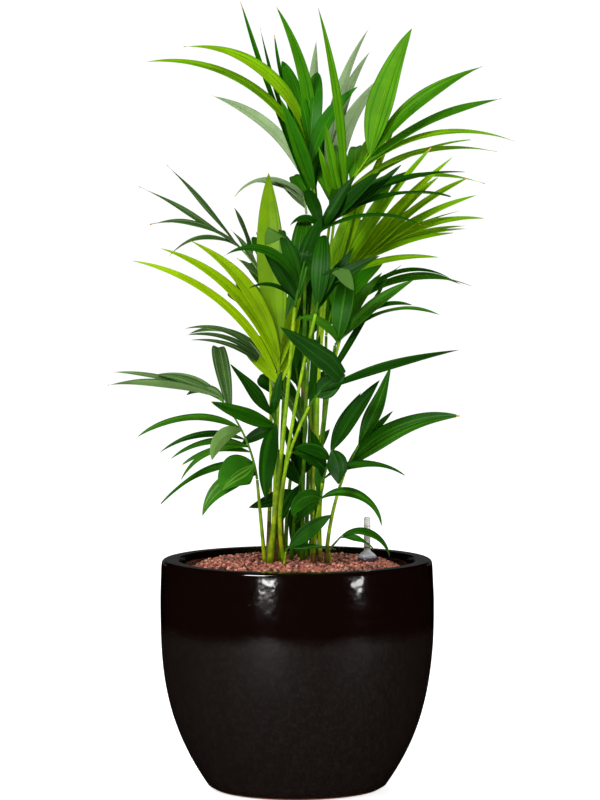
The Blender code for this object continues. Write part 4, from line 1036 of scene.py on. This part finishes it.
def glaze_material():
    """Near-black brown glaze: glossy above a wandering line where it ran, and
    duller and browner below, with pinholes and a bare clay edge at the foot."""
    m = bpy.data.materials.new("dark_glaze")
    m.use_nodes = True
    nt = m.node_tree
    b = nt.nodes["Principled BSDF"]
    new, link = nt.nodes.new, nt.links.new
    tc = new("ShaderNodeTexCoord")
    sep = new("ShaderNodeSeparateXYZ")
    link(tc.outputs["Object"], sep.inputs[0])
    wander = new("ShaderNodeTexNoise")
    wander.inputs["Scale"].default_value = 13
    wander.inputs["Detail"].default_value = 4
    link(tc.outputs["Object"], wander.inputs["Vector"])
    add = new("ShaderNodeMath")
    add.operation = "MULTIPLY_ADD"
    link(wander.outputs["Fac"], add.inputs[0])
    add.inputs[1].default_value = 0.024
    link(sep.outputs["Z"], add.inputs[2])
    band = new("ShaderNodeMapRange")
    band.inputs["From Min"].default_value = 0.256
    band.inputs["From Max"].default_value = 0.278
    link(add.outputs[0], band.inputs["Value"])
    foot = new("ShaderNodeMapRange")
    foot.inputs["From Min"].default_value = 0.0025
    foot.inputs["From Max"].default_value = 0.0045
    link(sep.outputs["Z"], foot.inputs["Value"])
    fleck = new("ShaderNodeTexNoise")
    fleck.inputs["Scale"].default_value = 150
    fleck.inputs["Detail"].default_value = 4
    link(tc.outputs["Object"], fleck.inputs["Vector"])
    low = new("ShaderNodeValToRGB")
    low.color_ramp.elements[0].position, low.color_ramp.elements[0].color = 0.45, (*srgb(16, 9, 6), 1)
    low.color_ramp.elements[1].position, low.color_ramp.elements[1].color = 0.72, (*srgb(24, 15, 11), 1)
    link(fleck.outputs["Fac"], low.inputs["Fac"])
    mix = new("ShaderNodeMix")
    mix.data_type = "RGBA"
    link(band.outputs["Result"], mix.inputs["Factor"])
    link(low.outputs["Color"], mix.inputs["A"])
    mix.inputs["B"].default_value = (*srgb(9, 3, 2), 1)
    edge = new("ShaderNodeMix")
    edge.data_type = "RGBA"
    link(foot.outputs["Result"], edge.inputs["Factor"])
    edge.inputs["A"].default_value = (*srgb(112, 62, 44), 1)
    link(mix.outputs["Result"], edge.inputs["B"])
    link(edge.outputs["Result"], b.inputs["Base Color"])
    rough = new("ShaderNodeMapRange")
    rough.inputs["To Min"].default_value = 0.40
    rough.inputs["To Max"].default_value = 0.10
    link(band.outputs["Result"], rough.inputs["Value"])
    link(rough.outputs["Result"], b.inputs["Roughness"])
    ripple = new("ShaderNodeTexNoise")
    ripple.inputs["Scale"].default_value = 34
    ripple.inputs["Detail"].default_value = 2
    link(tc.outputs["Object"], ripple.inputs["Vector"])
    bump = new("ShaderNodeBump")
    bump.inputs["Strength"].default_value = 0.30
    bump.inputs["Distance"].default_value = 0.003
    link(ripple.outputs["Fac"], bump.inputs["Height"])
    pits = new("ShaderNodeTexVoronoi")
    pits.inputs["Scale"].default_value = 55
    link(tc.outputs["Object"], pits.inputs["Vector"])
    pit = new("ShaderNodeMapRange")
    pit.inputs["From Max"].default_value = 0.09
    link(pits.outputs["Distance"], pit.inputs["Value"])
    bump2 = new("ShaderNodeBump")
    bump2.inputs["Strength"].default_value = 0.5
    bump2.inputs["Distance"].default_value = 0.0008
    link(pit.outputs["Result"], bump2.inputs["Height"])
    link(bump.outputs["Normal"], bump2.inputs["Normal"])
    link(bump2.outputs["Normal"], b.inputs["Normal"])
    return m


def pot():
    def wobble(w, z):
        return 0.0006 * math.sin(3 * w + 1) + 0.0003 * math.sin(7 * w + z * 30)
    prof = [(0.0, 0.0), (POT_FLAT_R, 0.0), (POT_R_FOOT - 0.004, 0.0012)]
    prof += [(pot_outer(z), z) for z in [0.006 + 0.0085 * k for k in range(41)]]
    e = 0.006
    for k in range(9):
        w = math.pi / 2 * k / 8
        prof.append((POT_RIM_OUT - e + e * math.cos(w), POT_HEIGHT - e + e * math.sin(w)))
    e = 0.0045
    for k in range(7):
        w = math.pi / 2 * k / 6
        prof.append((POT_RIM_IN + e - e * math.sin(w), POT_HEIGHT - e + e * math.cos(w)))
    prof += [(pot_inner(z), z) for z in [0.352 - 0.004 * k for k in range(10)]]
    prof += [(pot_inner(z), z) for z in (0.250, 0.150, 0.070)] + [(pot_inner(0.07) - 0.02, POT_FLOOR), (0.0, POT_FLOOR)]
    verts, faces = turned(prof, 160, wobble=wobble)
    ob = build_mesh("glazed_pot", verts, faces, [glaze_material()], [0] * len(faces))
    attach(ob, "root")
    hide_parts("pot")


# ---------------------------------------------------------------------- granules
def bead(radius, detail):
    bm = bmesh.new()
    bmesh.ops.create_icosphere(bm, subdivisions=detail, radius=radius)
    v = np.array([p.co for p in bm.verts])
    f = [tuple(q.index for q in face.verts) for face in bm.faces]
    bm.free()
    return v, f


def bed_height(r):
    if r < BED_FLAT_R:
        return BED_TOP
    x = (r - BED_FLAT_R) / (BED_EDGE_R - BED_FLAT_R)
    return BED_TOP + (BED_EDGE_Z - BED_TOP) * x ** 1.4


def granules():
    tones = [srgb(166, 94, 72), srgb(126, 70, 54), srgb(210, 142, 120), srgb(76, 40, 34), srgb(150, 102, 90)]
    mats = [mat("clay_%d" % k, c, 0.62, spec=0.4, noise=(tuple(q * 0.6 for q in c), 500, 0.4, 0.65)) for k, c in enumerate(tones)]
    v0, f0 = bead(1.0, 2)
    rng = random.Random(5)
    step = 0.0058
    spots = []
    rows = int(0.18 / (step * 0.87)) + 1
    for i in range(-rows, rows + 1):
        y = i * step * 0.87
        for j in range(-36, 37):
            x = (j + (0.5 if i % 2 else 0.0)) * step
            x1, y1 = x + rng.uniform(-0.0011, 0.0011), y + rng.uniform(-0.0011, 0.0011)
            r = math.hypot(x1, y1)
            if r < 0.1745:
                spots.append((x1, y1, bed_height(r) + rng.uniform(-0.0034, 0.0014)))
    parts = {0: ([], [], []), 1: ([], [], []), 2: ([], [], [])}
    for k, (x, y, z) in enumerate(spots):
        verts, faces, which = parts[k % 3]
        size = rng.uniform(0.0025, 0.0032)
        squash = np.array([rng.uniform(0.92, 1.08), rng.uniform(0.92, 1.08), rng.uniform(0.9, 1.08)]) * size
        base = len(verts)
        spin = rng.uniform(0, 6.28)
        c, s = math.cos(spin), math.sin(spin)
        p = v0 * squash
        p = np.stack([p[:, 0] * c - p[:, 1] * s, p[:, 0] * s + p[:, 1] * c, p[:, 2]], 1) + (x, y, z - size * 0.4)
        verts.extend(p)
        faces.extend([tuple(base + q for q in f) for f in f0])
        which.extend([rng.choice((0, 0, 1, 2, 3, 4))] * len(f0))
    print("granules", len(spots), "triangles", sum(len(p[1]) for p in parts.values()))
    for k, (verts, faces, which) in parts.items():
        ob = build_mesh("granules_%d" % k, verts, faces, mats, which)
        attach(ob, "root")
        if k == 0:
            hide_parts("clay_bed")
    # body of the bed below the loose top layer, coloured near black as painted shade that shows in the gaps between the
    # beads
    prof = [(0.0, POT_FLOOR + GAP), (0.13, POT_FLOOR + GAP), (pot_inner(0.15) - 0.002, 0.15), (pot_inner(0.30) - 0.002, 0.30),
            (0.1735, 0.333), (0.160, 0.343), (BED_FLAT_R, BED_TOP - 0.0045), (0.0, BED_TOP - 0.0045)]
    verts, faces = turned(prof, 96)
    ob = build_mesh("bed_core", verts, faces, [mat("clay_shadow", srgb(20, 10, 8), 0.95, noise=(srgb(10, 6, 5), 300, 0.4, 0.6))], [0] * len(faces))
    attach(ob, "root")


# ------------------------------------------------------------------------- gauge
def gauge():
    at = (GAUGE_X, GAUGE_Y)
    tube_m = mat("gauge_clear", srgb(226, 227, 231), 0.12, spec=0.6)
    cap_m = mat("gauge_cone", srgb(214, 216, 222), 0.15, spec=0.6)
    ring_m = mat("gauge_ring", srgb(150, 150, 160), 0.2)
    dark_m = mat("gauge_dark", srgb(66, 54, 66), 0.25)
    red_m = mat("gauge_float", srgb(150, 42, 34), 0.35)
    mark_m = mat("gauge_mark", srgb(214, 186, 60), 0.5)
    for m, w in ((tube_m, 0.30), (cap_m, 0.20)):
        m.node_tree.nodes["Principled BSDF"].inputs["Transmission Weight"].default_value = w
    foot = [(0.0, STEM_FOOT_Z), (GAUGE_CAP_R, STEM_FOOT_Z), (GAUGE_CAP_R, 0.3610), (GAUGE_CAP_R - 0.0008, 0.3616), (0.0, 0.3616)]
    ring = [(0.0, 0.3617), (GAUGE_CAP_R - 0.0004, 0.3617), (GAUGE_CAP_R, 0.3624), (GAUGE_CAP_R, GAUGE_CAP_Z - 0.0004), (GAUGE_CAP_R - 0.0006, GAUGE_CAP_Z), (0.0, GAUGE_CAP_Z)]
    cone = [(0.0, GAUGE_CAP_Z + 0.0001)] + [(GAUGE_CAP_R - 0.001 - (GAUGE_CAP_R - 0.001 - GAUGE_TUBE_R) * ease(k / 8) ** 0.8, GAUGE_CAP_Z + 0.0001 + (GAUGE_NECK_Z - GAUGE_CAP_Z) * k / 8) for k in range(9)] + [(0.0, GAUGE_NECK_Z)]
    tube_p = [(0.0, GAUGE_NECK_Z + GAP), (GAUGE_TUBE_R, GAUGE_NECK_Z + GAP), (GAUGE_TUBE_R, GAUGE_TOP_Z - 0.0022), (GAUGE_TUBE_R - 0.0016, GAUGE_TOP_Z), (0.0, GAUGE_TOP_Z)]
    verts, faces, which = [], [], []
    for slot, prof in ((0, foot), (1, ring), (2, cone)):
        v, f = turned(prof, 40, at)
        base = len(verts)
        verts += v
        faces += [tuple(base + q for q in g) for g in f]
        which += [slot] * len(f)
    ob = build_mesh("gauge_base", verts, faces, [dark_m, ring_m, cap_m], which)
    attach(ob, "root")
    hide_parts("gauge_foot")
    v, f = turned(tube_p, 32, at)
    ob = build_mesh("gauge_stem", v, f, [tube_m], [0] * len(f))
    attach(ob, "root")
    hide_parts("gauge_tube")
    verts, faces, which = [], [], []
    for slot, r, z0, z1 in ((0, GAUGE_TUBE_R + 0.0001, 0.3772, 0.3792), (1, GAUGE_TUBE_R + 0.0001, 0.3935, 0.3947), (1, GAUGE_TUBE_R + 0.0001, 0.4115, 0.4127)):
        v, f = turned([(0.0, z0), (r, z0), (r, z1), (0.0, z1)], 32, at)
        base = len(verts)
        verts += v
        faces += [tuple(base + q for q in g) for g in f]
        which += [slot] * len(f)
    ob = build_mesh("gauge_marks", verts, faces, [red_m, mark_m], which)
    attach(ob, "root")


# ------------------------------------------------------------------------- stage
def stage():
    def plane(name, corners, m):
        me = bpy.data.meshes.new(name)
        me.from_pydata(corners, [], [(0, 1, 2, 3)])
        me.materials.append(m)
        ob = bpy.data.objects.new(name, me)
        bpy.context.scene.collection.objects.link(ob)
        return ob
    floor_m = bpy.data.materials.new("floor_white")
    floor_m.use_nodes = True
    b = floor_m.node_tree.nodes["Principled BSDF"]
    b.inputs["Base Color"].default_value = (0.9, 0.9, 0.9, 1)
    b.inputs["Roughness"].default_value = 0.9
    b.inputs["Emission Color"].default_value = (1, 1, 1, 1)
    b.inputs["Emission Strength"].default_value = 0.62
    floor = plane("floor", [(-9, -9, -0.0004), (9, -9, -0.0004), (9, 9, -0.0004), (-9, 9, -0.0004)], floor_m)
    floor.visible_glossy = False

    glow = bpy.data.materials.new("backdrop_white")
    glow.use_nodes = True
    b = glow.node_tree.nodes["Principled BSDF"]
    b.inputs["Base Color"].default_value = (0, 0, 0, 1)
    b.inputs["Specular IOR Level"].default_value = 0.0
    b.inputs["Emission Color"].default_value = (1, 1, 1, 1)
    b.inputs["Emission Strength"].default_value = 1.05
    bm = bmesh.new()
    bmesh.ops.create_icosphere(bm, subdivisions=4, radius=15)
    me = bpy.data.meshes.new("backdrop")
    bm.to_mesh(me)
    bm.free()
    me.materials.append(glow)
    dome = bpy.data.objects.new("backdrop", me)
    bpy.context.scene.collection.objects.link(dome)
    dome.visible_diffuse = dome.visible_glossy = dome.visible_transmission = dome.visible_shadow = False

    world = bpy.data.worlds.new("studio")
    bpy.context.scene.world = world
    world.use_nodes = True
    world.node_tree.nodes["Background"].inputs[0].default_value = (1, 1, 1, 1)
    world.node_tree.nodes["Background"].inputs[1].default_value = 0.55
    world.cycles_visibility.glossy = False

    def area(name, at, aim, size, power, glossy=True):
        d = bpy.data.lights.new(name, "AREA")
        d.shape = "RECTANGLE"
        d.size, d.size_y = size
        d.energy = power
        ob = bpy.data.objects.new(name, d)
        bpy.context.scene.collection.objects.link(ob)
        ob.location = at
        to = Vector(aim) - Vector(at)
        ob.rotation_euler = to.to_track_quat("-Z", "Y").to_euler()
        ob.visible_glossy = glossy
        ob.visible_camera = False
    area("key", (-1.9, -2.6, 3.0), (0, 0, 0.7), (1.2, 1.2), 150)
    area("fill", (2.6, -2.0, 1.8), (0, 0, 0.7), (1.6, 1.6), 50, glossy=False)
    area("rim", (0.6, 2.8, 2.6), (0, 0, 0.8), (2.0, 1.4), 40, glossy=False)
    area("window_left", (-1.16, -2.76, 0.415), (0, 0, 0.31), (0.66, 0.18), 10)
    area("window_right", (2.36, -1.85, 0.38), (0, 0, 0.31), (0.50, 0.20), 5.5)
    area("far_glow", (0.0, 6.0, 0.9), (0, 0, 0.4), (8.0, 1.6), 2.4)

    cam = bpy.data.cameras.new("camera")
    cam.lens, cam.sensor_width = 158.29, 36.0
    cam.clip_end = 60
    ob = bpy.data.objects.new("camera", cam)
    bpy.context.scene.collection.objects.link(ob)
    ob.location = EYE
    ob.rotation_euler = (math.pi / 2 - EYE_TILT, 0, 0)
    bpy.context.scene.camera = ob
    bpy.context.scene.view_settings.view_transform = "Standard"


pot()
granules()
gauge()
fronds_and_stalks()
stage()
